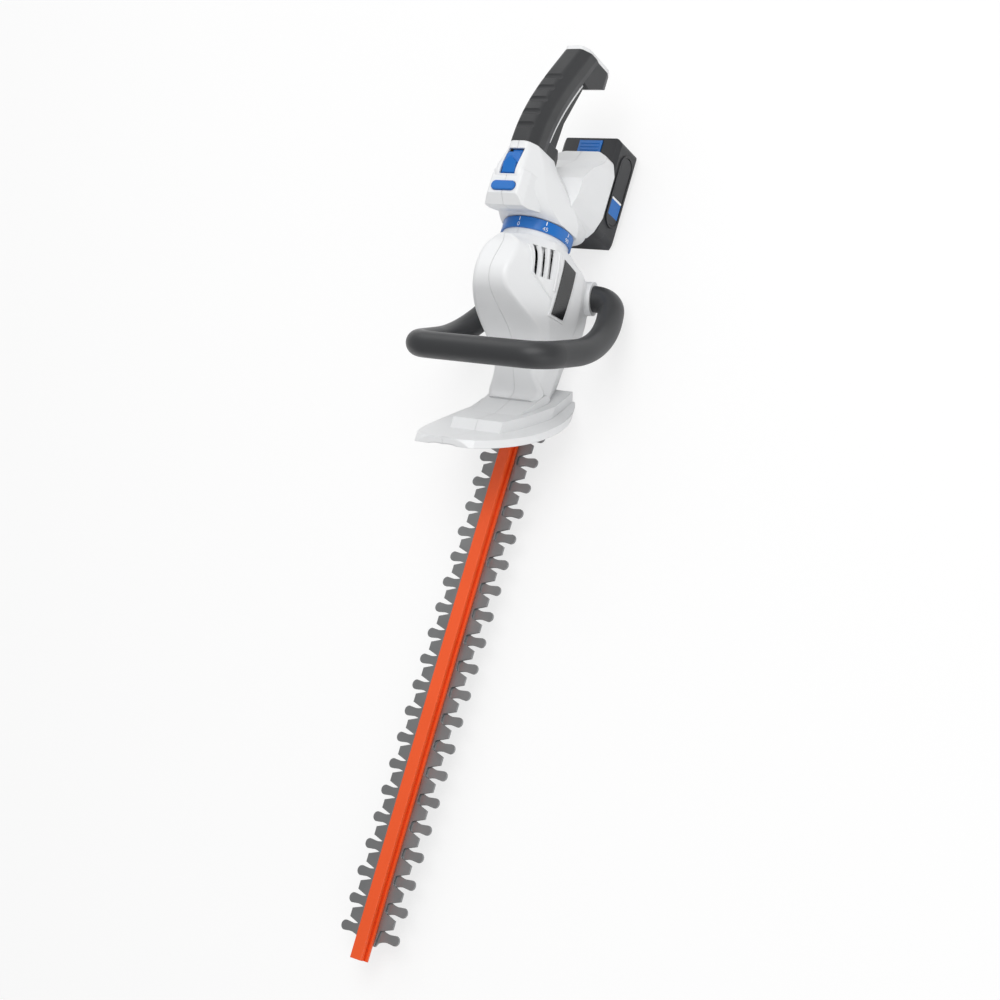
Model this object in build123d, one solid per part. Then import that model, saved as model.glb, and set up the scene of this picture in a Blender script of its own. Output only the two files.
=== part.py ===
from build123d import *
import os
from math import atan2, cos, pi, radians, sin, tan

# Cordless hedge trimmer with a turning rear handle, drawn in millimetres.
# Drawing frame: +X to the blade tip, +Y to the tool's left, +Z up, z = 0 on the bench.
# x = 0 is the second long tooth; every node is moved to the middle of the length at the end.

# Blades
TOOTH_PITCH = 28.0
TOOTH_COUNT = 20
FIRST_TOOTH_X = -28.0
BLADE_T = 2.3
BLADE_GAP = 0.25
LOWER_BLADE_Z = 25.85
LOWER_ROOT_W = 13.0
LOWER_TIP_W = 36.4
LONG_ROOT = 7.2
LONG_NECK = 4.2
LONG_BULB = 5.1
LONG_NECK_W = 23.5
LONG_BULB_W = 31.8
UPPER_ROOT_W = 12.3
UPPER_TIP_W = 27.0
SHORT_ROOT = 8.6
SHORT_TIP = 4.3
SHORT_SCALLOP = 2.6
BLADE_END = 9.0
TANG_W = 10.5
BLADE_STROKE = 7.0

# Rail and support bar
RAIL_W = 6.9
RAIL_H = 9.2
FLANGE_W = 10.0
FLANGE_T = 2.8
RAIL_GROOVE_W = 1.1
RAIL_GROOVE_D = 1.2
RAIL_OVERHANG = 27.5
RAIL_REAR_X = -84.0
BAR_W = 8.0
BAR_T = 2.6

# Blade bolts
BOLT_COUNT = 6
BOLT_FIRST_X = -55.0
BOLT_PITCH = 105.0
BOLT_R = 2.9
BOLT_HEAD_R = 5.2
BOLT_HEAD_T = 3.6
BOLT_DEPTH = 6.0
SLOT_CLEAR = 0.35
FIT_CLEAR = 0.05

# Swivel between the rear handle and the body
SWIVEL_Z = 93.0
RING_R = 38.0
RING_T = 2.2
RING_W = 12.0
RING_REAR_X = -232.0
HUB_R = 26.0
HUB_BORE = 15.0
HUB_FLANGE_R = 31.0
HUB_FLANGE_T = 5.0
RUN_CLEAR = 0.35

# Main housing
WALL = 2.6
SEAM = 0.3
BODY_REAR_X = -213.0
HAUNCH_X = -196.0
TOWER_X = -168.0
BROW_X = -147.0
INSTEP_X = -126.0
THROAT_X = -104.0
NECK_X = -84.0
NECK_END_X = -58.0
FLARE_X = -27.0
FLARE_FOOT_X = -70.0
FLARE_FOOT_Z = 44.0
TOWER_TOP_Z = 156.0
TOWER_W = 50.0
BROW_TOP_Z = 148.0
INSTEP_TOP_Z = 104.0
THROAT_TOP_Z = 76.0
NECK_TOP_Z = 64.0
FLARE_TOP_Z = 82.0
NECK_W = 33.0
BODY_BOTTOM_Z = 5.0
BODY_ROUND = 8.0

# Body sections: left-hand (y, z) corners from the top down
HAUNCH_SECTION = [(18.0, TOWER_TOP_Z - 8.0), (TOWER_W - 8.0, 108.0), (TOWER_W - 2.0, 58.0), (33.0, 14.0)]
TOWER_SECTION = [(20.0, TOWER_TOP_Z), (TOWER_W - 6.0, 104.0), (TOWER_W, 52.0), (34.0, BODY_BOTTOM_Z + 3.0)]
BROW_SECTION = [(22.0, BROW_TOP_Z), (TOWER_W - 5.0, 100.0), (TOWER_W - 1.0, 48.0), (32.0, BODY_BOTTOM_Z)]
INSTEP_SECTION = [(34.0, INSTEP_TOP_Z), (42.0, 82.0), (43.0, 42.0), (24.0, BODY_BOTTOM_Z)]
THROAT_SECTION = [(27.0, THROAT_TOP_Z), (NECK_W + 1.0, 62.0), (NECK_W + 3.0, 36.0), (20.0, BODY_BOTTOM_Z)]
NECK_SECTION = [(25.0, NECK_TOP_Z), (NECK_W - 2.0, 53.0), (NECK_W, 34.0), (18.0, BODY_BOTTOM_Z)]
NECK_END_SECTION = [(25.0, NECK_TOP_Z - 6.0), (NECK_W - 2.0, 49.0), (NECK_W, 34.0), (18.0, BODY_BOTTOM_Z)]
FLARE_SECTION = [(27.0, FLARE_TOP_Z), (NECK_W - 1.0, 60.0), (NECK_W + 1.5, 36.0), (20.0, BODY_BOTTOM_Z + 2.0)]

# Hand guard
GUARD_FOOT_X = -80.0
GUARD_BELLY_X = -27.0
GUARD_BELLY_Z = 67.0
GUARD_TOP_X = 19.0
GUARD_TOP_Z = 151.0
GUARD_W = 65.5
GUARD_WAIST_Z = 62.0
GUARD_FOOT_W = 42.0
GUARD_CROWN_W = 36.0
GUARD_CROWN_Z = 145.0
GUARD_LOW_BULGE = 0.76
GUARD_LOW_RISE = 0.44
GUARD_HIGH_BULGE = 0.80
GUARD_BRIM_SHARE = 0.55
GUARD_BRIM_DROP = 0.8
GUARD_T = 3.6
GUARD_RIM_T = 8.0
GUARD_RIM_W = 4.0
APRON_T = 11.0
APRON_TOP_Z = 101.0
APRON_TOP_W = 31.0
APRON_FOOT_W = 46.0
APRON_FOOT_Z = 40.0
PORT_CLEAR = 1.5

# Front handle: left-hand corners of its bent tube, from the foot in the boss up to the bar
HANDLE_R = 14.0
HANDLE_BORE = 10.5
HANDLE_FOOT_X = -187.2
HANDLE_FOOT_W = 42.1
HANDLE_FOOT_Z = 26.3
HANDLE_ANKLE_X = -190.2
HANDLE_ANKLE_W = 67.0
HANDLE_ANKLE_Z = 20.9
HANDLE_ANKLE_BEND = 24.0
HANDLE_KNEE_X = -123.8
HANDLE_KNEE_W = 89.8
HANDLE_KNEE_Z = 48.0
HANDLE_KNEE_BEND = 113.6
HANDLE_TOP_X = -79.7
HANDLE_TOP_W = 81.2
HANDLE_TOP_Z = 140.0
HANDLE_TOP_BEND = 24.0
SOCKET_DEPTH = 12.0
BOSS_R = 18.0
BOSS_RISE = 4.0
BOSS_FLOOR = 3.0

# Vents and badge
VENT_COUNT = 3
VENT_LENGTH = 31.0
VENT_H = 5.2
VENT_PITCH = 7.9
VENT_X = -187.5
VENT_Z = 118.6
VENT_TILT = 7.5
BADGE_X = -170.4
BADGE_Z = 84.5
BADGE_LENGTH = 57.0
BADGE_H = 20.3
BADGE_REAR_SLANT = 5.0
BADGE_FRONT_SLANT = -1.7
BADGE_T = 1.6
BADGE_FRAME = 3.0

# Motor and gears
MOTOR_X = -174.0
MOTOR_R = 21.0
MOTOR_H = 68.0
MOTOR_WALL = 2.0
ROTOR_R = 15.0
MOTOR_SHAFT_R = 2.5
GEAR_MODULE = 1.25
GEAR_TEETH = 48
TOOTH_ADDENDUM = 0.8
TOOTH_DEDENDUM = 1.15
TOOTH_ROOT_HALF = 0.92
TOOTH_TIP_HALF = 0.30
PINION_TEETH = 12
GEAR_Z = 36.5
GEAR_T = 9.0
AXLE_R = 3.5
WASHER_R = 7.0
WASHER_GAP = 0.1
CAM_R = 12.5
CAM_OFFSET = 7.0
YOKE_WALL = 6.0
CASE_T = 3.5
CASE_W = 21.0
CASE_FLOOR_Z = 19.0
GEAR_SEAT = 2.0
POST_R = 3.5

# Rear housing
REAR_GAP = 1.0
REAR_BULGE_X = -256.0
REAR_WAIST_X = -276.0
GRIP_ROOT_X = -297.0
REAR_TOP_Z = 174.0
CHIN_FRONT_X = -228.0
CHIN_NOSE_TOP_Z = 165.0
CHIN_NOSE_LOW_Z = 154.0
CHIN_UNDER_Z = 136.0
CHIN_REAR_Z = 130.0
CHIN_W = 21.0
CHIN_ROUND = 4.0
CHIN_OVERLAP = 8.0
SHOE_W = 42.0
SHOE_REAR_X = -343.0
SHOE_BOTTOM_Z = 46.3
SHOE_REAR_Z = 58.0
SHOE_TOP_Z = 102.0

# Grip
GRIP_W = 17.0
GRIP_H = 34.0
GRIP_CROWN_W = 10.0
GRIP_SHOULDER = 11.0
GRIP_FLANK = 23.0
GRIP_TUCK = 3.0
GRIP_END_X = -427.0
GRIP_MID_X = -345.0
GRIP_DROP_X = -385.0
GRIP_ROOT_Z = 171.0
GRIP_MID_Z = 163.0
GRIP_DROP_Z = 147.0
GRIP_END_Z = 126.0
POMMEL_W = 15.0
POMMEL_Z = 63.0
POMMEL_SHOULDER = 10.0
POMMEL_HEEL = 12.0
GRIP_CAP_T = 4.0
HEEL_TOP_Z = 150.0
HEEL_LOW_Z = 112.0
HEEL_FLAT = 9.0
HOOK_OVERLAP = 6.0
HOOK_TOE = 15.0
HOOK_FRONT = 26.0
HOOK_FRONT_Z = 88.0
HOOK_THROAT_Z = 100.0
HOOK_ROUND = 7.0
GRIP_GROOVES = 5
GRIP_GROOVE_X = -316.0
GRIP_GROOVE_PITCH = 17.0
GRIP_GROOVE_D = 2.2
GRIP_GROOVE_R = 5.0

# Rear sections: left-hand (y, z) corners from the top down
REAR_BULGE_SECTION = [(17.0, REAR_TOP_Z), (30.0, 142.0), (38.0, 95.0), (30.0, 54.0)]
REAR_WAIST_SECTION = [(15.0, REAR_TOP_Z - 1.0), (25.0, 148.0), (28.0, 115.0), (22.0, 84.0)]
REAR_ROOT_SECTION = [(10.0, GRIP_ROOT_Z), (GRIP_W, 160.0), (GRIP_W, 125.0), (11.0, 112.0)]
CHIN_SECTION = [(CHIN_W - 3.0, REAR_TOP_Z), (CHIN_W + 2.0, 165.0), (CHIN_W + 5.0, 140.0), (CHIN_W + 5.0, 120.0)]
SHOE_SECTION = [(16.0, 104.0), (SHOE_W - 12.0, 96.0), (SHOE_W, 66.0), (SHOE_W, 30.0)]

HEEL_SECTION = [(9.0, GRIP_ROOT_Z - 11.0), (GRIP_W - 4.0, HEEL_TOP_Z), (GRIP_W - 4.0, 120.0), (GRIP_W - 7.0, 106.0)]

# Trigger
TRIGGER_W = 8.5
TRIGGER_FRONT_X = -313.0
TRIGGER_REAR_X = -392.0
TRIGGER_FRONT_Z = 118.0
TRIGGER_MID_Z = 116.0
TRIGGER_REAR_Z = 101.0
PIVOT_X = -387.0
PIVOT_Z = 114.0
PIN_R = 2.0
TRIGGER_SEAT = 6.0
TRIGGER_ROOM = 6.0
CORE_W = 11.0
CORE_LIP = 3.2
CORE_REAR_X = -395.0
CORE_OVERLAP = 8.0
GRIP_ROUND = 6.0

# Buttons on the rear housing
LOCK_X = -271.0
LOCK_LENGTH = 25.0
LOCK_W = 9.0
LOCK_TRAVEL = 5.0
RELEASE_X = -245.0
RELEASE_LENGTH = 10.0
RELEASE_W = 14.3
RELEASE_TRAVEL = 3.0
RELEASE_DEPTH = 8.0
RELEASE_RISE = 2.5
RELEASE_CHAMFER = 0.8
LOCK_DEPTH = 9.0
LOCK_RISE = 3.0
LOCK_FOOT = 2.0
LOCK_FOOT_BACK = 6.0
LOCK_POINT = 8.0
LOCK_TIP = 3.0
BUTTON_CLEAR = 0.4

# Switch, leads and terminals
SWITCH_X = -266.0
SWITCH_LENGTH = 14.0
SWITCH_W = 10.0
SWITCH_DROP = 6.0
SWITCH_RISE = 18.0
SWITCH_PEG_R = 3.0
SWITCH_PEG_RISE = 4.0
LEAD_R = 3.0
TERMINAL_T = 4.0
TERMINAL_REACH = 12.0
TERMINAL_PITCH = 10.0
TERMINAL_BLADE = 0.5

# Battery pack
PACK_FRONT_X = -255.0
PACK_LENGTH = 110.0
PACK_W = 37.0
PACK_H = 46.0
PACK_CHAMFER = 7.0
PACK_SPLIT_Z = 27.0
PACK_WALL = 2.2
TONGUE_W = 23.0
TONGUE_H = 8.0
TONGUE_FRONT_X = -262.0
TONGUE_REAR_X = -338.0
TONGUE_GROOVE = 3.0
SLIDE_CLEAR = 0.5
CELL_R = 9.1
CELL_LENGTH = 65.0
CELL_COUNT = 5
TRIM_REAR_INSET = 14.0
TRIM_FRONT_INSET = 20.0
TRIM_LOW_Z = 13.0
TRIM_HIGH_Z = 33.0
TRIM_SEAT = 0.6
TRIM_RISE = 0.8
PACK_TOP_CHAMFER = 4.0
LATCH_W = 14.5
LATCH_LENGTH = 17.0
LATCH_H = 9.0
LATCH_TRAVEL = 3.0
LATCH_INSET = 3.0
LATCH_RISE = 1.0
LATCH_WAVE_PITCH = 4.0
LATCH_WAVE_R = 1.2
LATCH_WAVE_MARGIN = 3.0

# Screws
SCREW_R = 2.0
SCREW_HEAD_R = 3.6
SCREW_HEAD_T = 2.6
SCREW_GRIP = 9.0

# Heights and stations that follow from the sizes above
UPPER_BLADE_Z = LOWER_BLADE_Z + BLADE_T + BLADE_GAP
RAIL_Z = UPPER_BLADE_Z + BLADE_T + BLADE_GAP
BAR_Z = LOWER_BLADE_Z - BLADE_GAP - BAR_T
LAST_TOOTH_X = FIRST_TOOTH_X + TOOTH_PITCH * (TOOTH_COUNT - 1)
BLADE_TIP_X = LAST_TOOTH_X + BLADE_END
RAIL_TIP_X = LAST_TOOTH_X + RAIL_OVERHANG
GEAR_X = MOTOR_X + GEAR_MODULE * (GEAR_TEETH + PINION_TEETH) / 2
REAR_FACE_X = RING_REAR_X - REAR_GAP
CAP_END_X = GRIP_END_X - GRIP_CAP_T
MID_X = (RAIL_TIP_X + CAP_END_X) / 2
PACK_REAR_X = PACK_FRONT_X - PACK_LENGTH
BIG = 400.0

# Plan and side view of the shoe, as (x, y) and (x, z) corners
SHOE_PLAN = [(REAR_FACE_X - 4.0, SHOE_W - 22.0), (REAR_FACE_X - 22.0, SHOE_W - 6.0), (REAR_FACE_X - 38.0, SHOE_W),
             (SHOE_REAR_X + 24.0, SHOE_W), (SHOE_REAR_X + 8.0, SHOE_W - 6.0), (SHOE_REAR_X, SHOE_W - 20.0)]
SHOE_SIDE = [(SHOE_REAR_X, SHOE_BOTTOM_Z), (SHOE_REAR_X, SHOE_REAR_Z), (SHOE_REAR_X + 15.0, SHOE_REAR_Z + 8.0),
             (SHOE_REAR_X + 35.0, SHOE_REAR_Z + 32.0), (GRIP_ROOT_X + 6.0, SHOE_TOP_Z), (REAR_FACE_X - 8.0, SHOE_TOP_Z),
             (REAR_FACE_X - 1.0, SHOE_REAR_Z + 6.0), (REAR_FACE_X - 15.0, SHOE_BOTTOM_Z)]

# Housing screws: x, z and the depth of the head's seat from the middle plane
MAIN_SCREWS = [(TOWER_X - 20.0, TOWER_TOP_Z - 22.0, 18.0), (NECK_X + 9.0, 50.0, 22.0),
               (HAUNCH_X - 5.0, 64.0, 34.0), (BROW_X + 7.0, 74.0, 35.0)]
REAR_SCREWS = [(REAR_BULGE_X - 5.0, 150.0, 18.0), (REAR_BULGE_X + 4.0, 68.0, 30.0), (REAR_WAIST_X - 12.0, 126.0, 13.0)]


def side_prism(points, half_width):
    # Extrude an x-z outline evenly to both sides of the middle plane.
    return extrude(Plane.XZ * Polygon(*points, align=None), half_width, both=True)


def box_between(x0, x1, y0, y1, z0, z1):
    block = Box(x1 - x0, y1 - y0, z1 - z0)
    return Pos((x0 + x1) / 2, (y0 + y1) / 2, (z0 + z1) / 2) * block


def rod(x, y, z0, z1, radius):
    return Pos(x, y, (z0 + z1) / 2) * Cylinder(radius, z1 - z0)


def rod_x(x0, x1, y, z, radius):
    return Pos((x0 + x1) / 2, y, z) * Rot(0, 90, 0) * Cylinder(radius, x1 - x0)


def rod_y(x, y0, y1, z, radius):
    return Pos(x, (y0 + y1) / 2, z) * Rot(90, 0, 0) * Cylinder(radius, y1 - y0)


def ring_section(corners, rounding, inset):
    # A closed y-z outline from its left-hand corners, rounded and then drawn in by the inset.
    mirrored = [(-y, z) for y, z in reversed(corners)]
    outline = Polygon(*corners, *mirrored, align=None)
    outline = fillet(outline.vertices(), rounding)
    if inset > 0:
        outline = offset(outline, amount=-inset)
    return outline


def lofted(stations, rounding, inset):
    # Loft a row of rounded y-z outlines along X.
    faces = []
    for x, corners in stations:
        faces.append(Plane.YZ.offset(x) * ring_section(corners, rounding, inset))
    return loft(faces)


def long_prism(corners, rounding):
    # A rounded y-z outline drawn out along the whole tool.
    return extrude(Plane.YZ * ring_section(corners, rounding, 0), 2 * BIG, both=True)


def left_half(shape):
    return shape & box_between(-BIG * 2, BIG * 2, SEAM / 2, BIG, -BIG, BIG)


def right_half(shape):
    return shape & box_between(-BIG * 2, BIG * 2, -BIG, -SEAM / 2, -BIG, BIG)


def screw_y(x, z, y_head, y_tip):
    # A pan-head screw along Y with its head at y_head.
    out = 1 if y_head > y_tip else -1
    shank = rod_y(x, min(y_head, y_tip), max(y_head, y_tip), z, SCREW_R)
    head_y = y_head + out * SCREW_HEAD_T
    head = rod_y(x, min(y_head, head_y), max(y_head, head_y), z, SCREW_HEAD_R)
    slot = box_between(x - SCREW_HEAD_R, x + SCREW_HEAD_R, head_y - SCREW_HEAD_T / 2, head_y + SCREW_HEAD_T / 2,
                       z - SCREW_R / 5, z + SCREW_R / 5)
    return shank + head - slot


# Blades

def long_tooth(x):
    # Bowling-pin tooth: wide root, slim neck, round tip.
    left = (x - LONG_ROOT, LOWER_ROOT_W)
    right = (x + LONG_ROOT, LOWER_ROOT_W)
    knee_w = LOWER_ROOT_W + (LONG_NECK_W - LOWER_ROOT_W) * 0.45
    knee = LONG_NECK + (LONG_ROOT - LONG_NECK) * 0.3
    return left, [
        ThreePointArc(left, (x - knee, knee_w), (x - LONG_NECK, LONG_NECK_W)),
        Line((x - LONG_NECK, LONG_NECK_W), (x - LONG_BULB, LONG_BULB_W)),
        ThreePointArc((x - LONG_BULB, LONG_BULB_W), (x, LOWER_TIP_W), (x + LONG_BULB, LONG_BULB_W)),
        Line((x + LONG_BULB, LONG_BULB_W), (x + LONG_NECK, LONG_NECK_W)),
        ThreePointArc((x + LONG_NECK, LONG_NECK_W), (x + knee, knee_w), right),
    ], right


def short_tooth(x):
    # Ground trapezoid tooth that runs into a scalloped root.
    left = (x - SHORT_ROOT - SHORT_SCALLOP, UPPER_ROOT_W)
    right = (x + SHORT_ROOT + SHORT_SCALLOP, UPPER_ROOT_W)
    rise = UPPER_ROOT_W + SHORT_SCALLOP
    bend = SHORT_SCALLOP * 0.7
    drop = SHORT_SCALLOP * 0.3
    return left, [
        ThreePointArc(left, (left[0] + bend, UPPER_ROOT_W + drop), (x - SHORT_ROOT, rise)),
        Line((x - SHORT_ROOT, rise), (x - SHORT_TIP, UPPER_TIP_W)),
        Line((x - SHORT_TIP, UPPER_TIP_W), (x + SHORT_TIP, UPPER_TIP_W)),
        Line((x + SHORT_TIP, UPPER_TIP_W), (x + SHORT_ROOT, rise)),
        ThreePointArc((x + SHORT_ROOT, rise), (right[0] - bend, UPPER_ROOT_W + drop), right),
    ], right


def toothed_strip(tooth, first_x, count, root_w):
    rear_x = first_x - TOOTH_PITCH / 2
    here = (rear_x, root_w)
    edges = [Line((rear_x, 0), here)]
    for index in range(count):
        start, tooth_edges, end = tooth(first_x + index * TOOTH_PITCH)
        edges.append(Line(here, start))
        edges.extend(tooth_edges)
        here = end
    nose = (BLADE_TIP_X + root_w - TANG_W, TANG_W)
    edges.append(Line(here, nose))
    edges.append(Line(nose, (nose[0], 0)))
    mirrored = [mirror(edge, about=Plane.XZ) for edge in edges]
    return make_face(edges + mirrored), rear_x


def bolt_places():
    return [BOLT_FIRST_X + index * BOLT_PITCH for index in range(BOLT_COUNT)]


def blade(tooth, first_x, count, root_w, base_z):
    strip, rear_x = toothed_strip(tooth, first_x, count, root_w)
    open_x = CAM_R + CAM_OFFSET + BLADE_STROKE + BUTTON_CLEAR
    open_y = CAM_R + CAM_OFFSET + BUTTON_CLEAR
    yoke = Pos(GEAR_X, 0) * RectangleRounded(2 * (open_x + YOKE_WALL), 2 * (open_y + YOKE_WALL), open_y * 0.6)
    window = Pos(GEAR_X, 0) * RectangleRounded(2 * open_x, 2 * open_y, open_y * 0.5)
    tang_rear = GEAR_X + open_x + YOKE_WALL / 2
    tang = Pos((tang_rear + rear_x) / 2 + YOKE_WALL / 2, 0) * Rectangle(rear_x - tang_rear + YOKE_WALL, 2 * TANG_W)
    outline = Sketch() + strip + tang + yoke - window
    for x in bolt_places():
        outline -= Pos(x, 0) * SlotOverall(2 * (BOLT_R + SLOT_CLEAR + BLADE_STROKE), 2 * (BOLT_R + SLOT_CLEAR))
    return extrude(Plane.XY.offset(base_z) * outline, BLADE_T)


def lower_blade():
    return blade(long_tooth, FIRST_TOOTH_X, TOOTH_COUNT, LOWER_ROOT_W, LOWER_BLADE_Z)


def upper_blade():
    first_x = FIRST_TOOTH_X + TOOTH_PITCH / 2
    return blade(short_tooth, first_x, TOOTH_COUNT - 1, UPPER_ROOT_W, UPPER_BLADE_Z)


def blade_rail():
    # Flanged rail with a groove at the foot of each side wall.
    top = RAIL_Z + RAIL_H
    step = RAIL_Z + FLANGE_T
    half = [
        (FLANGE_W, RAIL_Z), (FLANGE_W, step), (RAIL_W + RAIL_GROOVE_W, step),
        (RAIL_W + RAIL_GROOVE_W, step - RAIL_GROOVE_D), (RAIL_W - RAIL_GROOVE_W, step - RAIL_GROOVE_D),
        (RAIL_W - RAIL_GROOVE_W, step + RAIL_GROOVE_D), (RAIL_W, step + 2 * RAIL_GROOVE_D),
        (RAIL_W, top - RAIL_GROOVE_W / 2), (RAIL_W - RAIL_GROOVE_W / 2, top),
    ]
    other = [(-y, z) for y, z in reversed(half)]
    rail = extrude(Plane.YZ.offset(RAIL_REAR_X) * Polygon(*half, *other, align=None), RAIL_TIP_X - RAIL_REAR_X)
    for x in bolt_places():
        rail -= rod(x, 0, RAIL_Z - 1, RAIL_Z + BOLT_DEPTH + FIT_CLEAR, BOLT_R + FIT_CLEAR)
    return rail


def support_bar():
    front = BLADE_TIP_X - BLADE_STROKE
    bar = box_between(RAIL_REAR_X, front, -BAR_W, BAR_W, BAR_Z, BAR_Z + BAR_T)
    for x in bolt_places():
        bar -= rod(x, 0, BAR_Z - 1, BAR_Z + BAR_T + 1, BOLT_R + FIT_CLEAR)
    return bar


def blade_bolts():
    bolts = []
    for x in bolt_places():
        shank = rod(x, 0, BAR_Z, RAIL_Z + BOLT_DEPTH, BOLT_R)
        hexagon = RegularPolygon(BOLT_HEAD_R, 6)
        head = extrude(Plane.XY.offset(BAR_Z - BOLT_HEAD_T) * Pos(x, 0) * hexagon, BOLT_HEAD_T)
        bolts.append(shank + head)
    return Compound(bolts)


# Motor and gears

def spur_gear(teeth, x, phase, z0, z1, bore):
    # Straight-flanked teeth, slim enough to run with backlash.
    pitch_r = GEAR_MODULE * teeth / 2
    tip_r = pitch_r + TOOTH_ADDENDUM * GEAR_MODULE
    root_r = pitch_r - TOOTH_DEDENDUM * GEAR_MODULE
    points = []
    for index in range(teeth):
        middle = phase + index * 2 * pi / teeth
        for radius, half in ((root_r, TOOTH_ROOT_HALF), (tip_r, TOOTH_TIP_HALF)):
            turn = half * GEAR_MODULE / radius
            points.append((radius, middle - turn))
        for radius, half in ((tip_r, TOOTH_TIP_HALF), (root_r, TOOTH_ROOT_HALF)):
            turn = half * GEAR_MODULE / radius
            points.append((radius, middle + turn))
    outline = Polygon(*[(r * cos(a), r * sin(a)) for r, a in points], align=None)
    disc = extrude(Plane.XY.offset(z0) * Pos(x, 0) * outline, z1 - z0)
    return disc - rod(x, 0, z0 - 1, z1 + 1, bore)


def drive_gear():
    return spur_gear(GEAR_TEETH, GEAR_X, 0, GEAR_Z, GEAR_Z + GEAR_T, AXLE_R + FIT_CLEAR)


def eccentric(side, z0, z1):
    disc = rod(GEAR_X, side * CAM_OFFSET, z0, z1, CAM_R)
    return disc - rod(GEAR_X, 0, z0 - 1, z1 + 1, AXLE_R + FIT_CLEAR)


def upper_eccentric():
    return eccentric(1, UPPER_BLADE_Z, GEAR_Z)


def lower_eccentric():
    return eccentric(-1, LOWER_BLADE_Z, UPPER_BLADE_Z)


def gear_axle():
    return rod(GEAR_X, 0, CASE_FLOOR_Z, case_top_z() + CASE_T, AXLE_R)


def gear_washers():
    # Spacers on the axle, under the lower eccentric and over the gear.
    low = rod(GEAR_X, 0, CASE_FLOOR_Z + CASE_T, LOWER_BLADE_Z - WASHER_GAP, WASHER_R)
    high = rod(GEAR_X, 0, GEAR_Z + GEAR_T + WASHER_GAP, case_top_z(), WASHER_R)
    axle_way = rod(GEAR_X, 0, 0, BIG, AXLE_R + FIT_CLEAR)
    return Compound([low - axle_way, high - axle_way])


def case_top_z():
    return GEAR_Z + GEAR_T + GEAR_SEAT


def post_places():
    reach = CAM_R + CAM_OFFSET + BLADE_STROKE + YOKE_WALL + BLADE_STROKE + POST_R + 1.5
    return [(GEAR_X - reach, CASE_W - POST_R), (GEAR_X - reach, POST_R - CASE_W),
            (GEAR_X + reach, CASE_W - POST_R), (GEAR_X + reach, POST_R - CASE_W)]


def case_span():
    xs = [x for x, y in post_places()]
    return min(xs) - POST_R, max(xs) + POST_R


def gear_case_floor():
    # Floor casting: carries the axle, the posts and the rear end of the rail.
    rear, front = case_span()
    floor = box_between(rear, front, -CASE_W, CASE_W, CASE_FLOOR_Z, CASE_FLOOR_Z + CASE_T)
    for x, y in post_places():
        floor += rod(x, y, CASE_FLOOR_Z, case_top_z(), POST_R)
    bridge_top = BAR_Z
    floor += box_between(front - 2 * POST_R, NECK_END_X + 4, -BAR_W, BAR_W, CASE_FLOOR_Z, bridge_top)
    for x in bolt_places():
        floor -= rod(x, 0, CASE_FLOOR_Z - 1, BAR_Z + 1, BOLT_HEAD_R + FIT_CLEAR)
    return floor - rod(GEAR_X, 0, CASE_FLOOR_Z - 1, CASE_FLOOR_Z + CASE_T + 1, AXLE_R + FIT_CLEAR)


def gear_case_top():
    rear, front = case_span()
    top = case_top_z()
    plate = box_between(rear, front, -CASE_W, CASE_W, top, top + CASE_T)
    plate -= rod(GEAR_X, 0, top - 1, top + CASE_T + 1, AXLE_R + FIT_CLEAR)
    return plate - rod(MOTOR_X, 0, top - 1, top + CASE_T + 1, GEAR_MODULE * PINION_TEETH / 2 + 2)


def motor_can():
    foot = case_top_z() + CASE_T
    can = rod(MOTOR_X, 0, foot, foot + MOTOR_H, MOTOR_R)
    can -= rod(MOTOR_X, 0, foot + MOTOR_WALL, foot + MOTOR_H + 1, MOTOR_R - MOTOR_WALL)
    return can - rod(MOTOR_X, 0, foot - 1, foot + MOTOR_WALL + 1, MOTOR_SHAFT_R + FIT_CLEAR)


def motor_end_cap():
    base = case_top_z() + CASE_T + MOTOR_H
    cap = rod(MOTOR_X, 0, base, base + MOTOR_WALL, MOTOR_R)
    return cap - rod(MOTOR_X, 0, base - 1, base + MOTOR_WALL + 1, MOTOR_SHAFT_R + FIT_CLEAR)


def motor_shaft():
    base = case_top_z() + CASE_T + MOTOR_H + MOTOR_WALL
    return rod(MOTOR_X, 0, GEAR_Z, base + MOTOR_WALL, MOTOR_SHAFT_R)


def motor_rotor():
    foot = case_top_z() + CASE_T + 4 * MOTOR_WALL
    core = rod(MOTOR_X, 0, foot, foot + MOTOR_H - 8 * MOTOR_WALL, ROTOR_R)
    return core - rod(MOTOR_X, 0, foot - 1, foot + MOTOR_H, MOTOR_SHAFT_R)


def motor_pinion():
    half_tooth = pi / PINION_TEETH
    return spur_gear(PINION_TEETH, MOTOR_X, half_tooth, GEAR_Z, GEAR_Z + GEAR_T, MOTOR_SHAFT_R)


# Main housing

def swivel_octagon():
    # Eight-sided outline that both housings bring to the swivel.
    near = RING_R * tan(radians(22.5))
    return [(near, SWIVEL_Z + RING_R), (RING_R, SWIVEL_Z + near), (RING_R, SWIVEL_Z - near), (near, SWIVEL_Z - RING_R)]


def main_stations():
    return [(BODY_REAR_X, swivel_octagon()), (HAUNCH_X, HAUNCH_SECTION), (TOWER_X, TOWER_SECTION),
            (BROW_X, BROW_SECTION), (INSTEP_X, INSTEP_SECTION), (THROAT_X, THROAT_SECTION),
            (NECK_X, NECK_SECTION), (NECK_END_X, NECK_END_SECTION)]


def cavity_stations():
    stations = main_stations()
    first_x, first = stations[0]
    last_x, last = stations[-1]
    return [(first_x + WALL, first)] + stations[1:-1] + [(last_x - WALL, last)]


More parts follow.
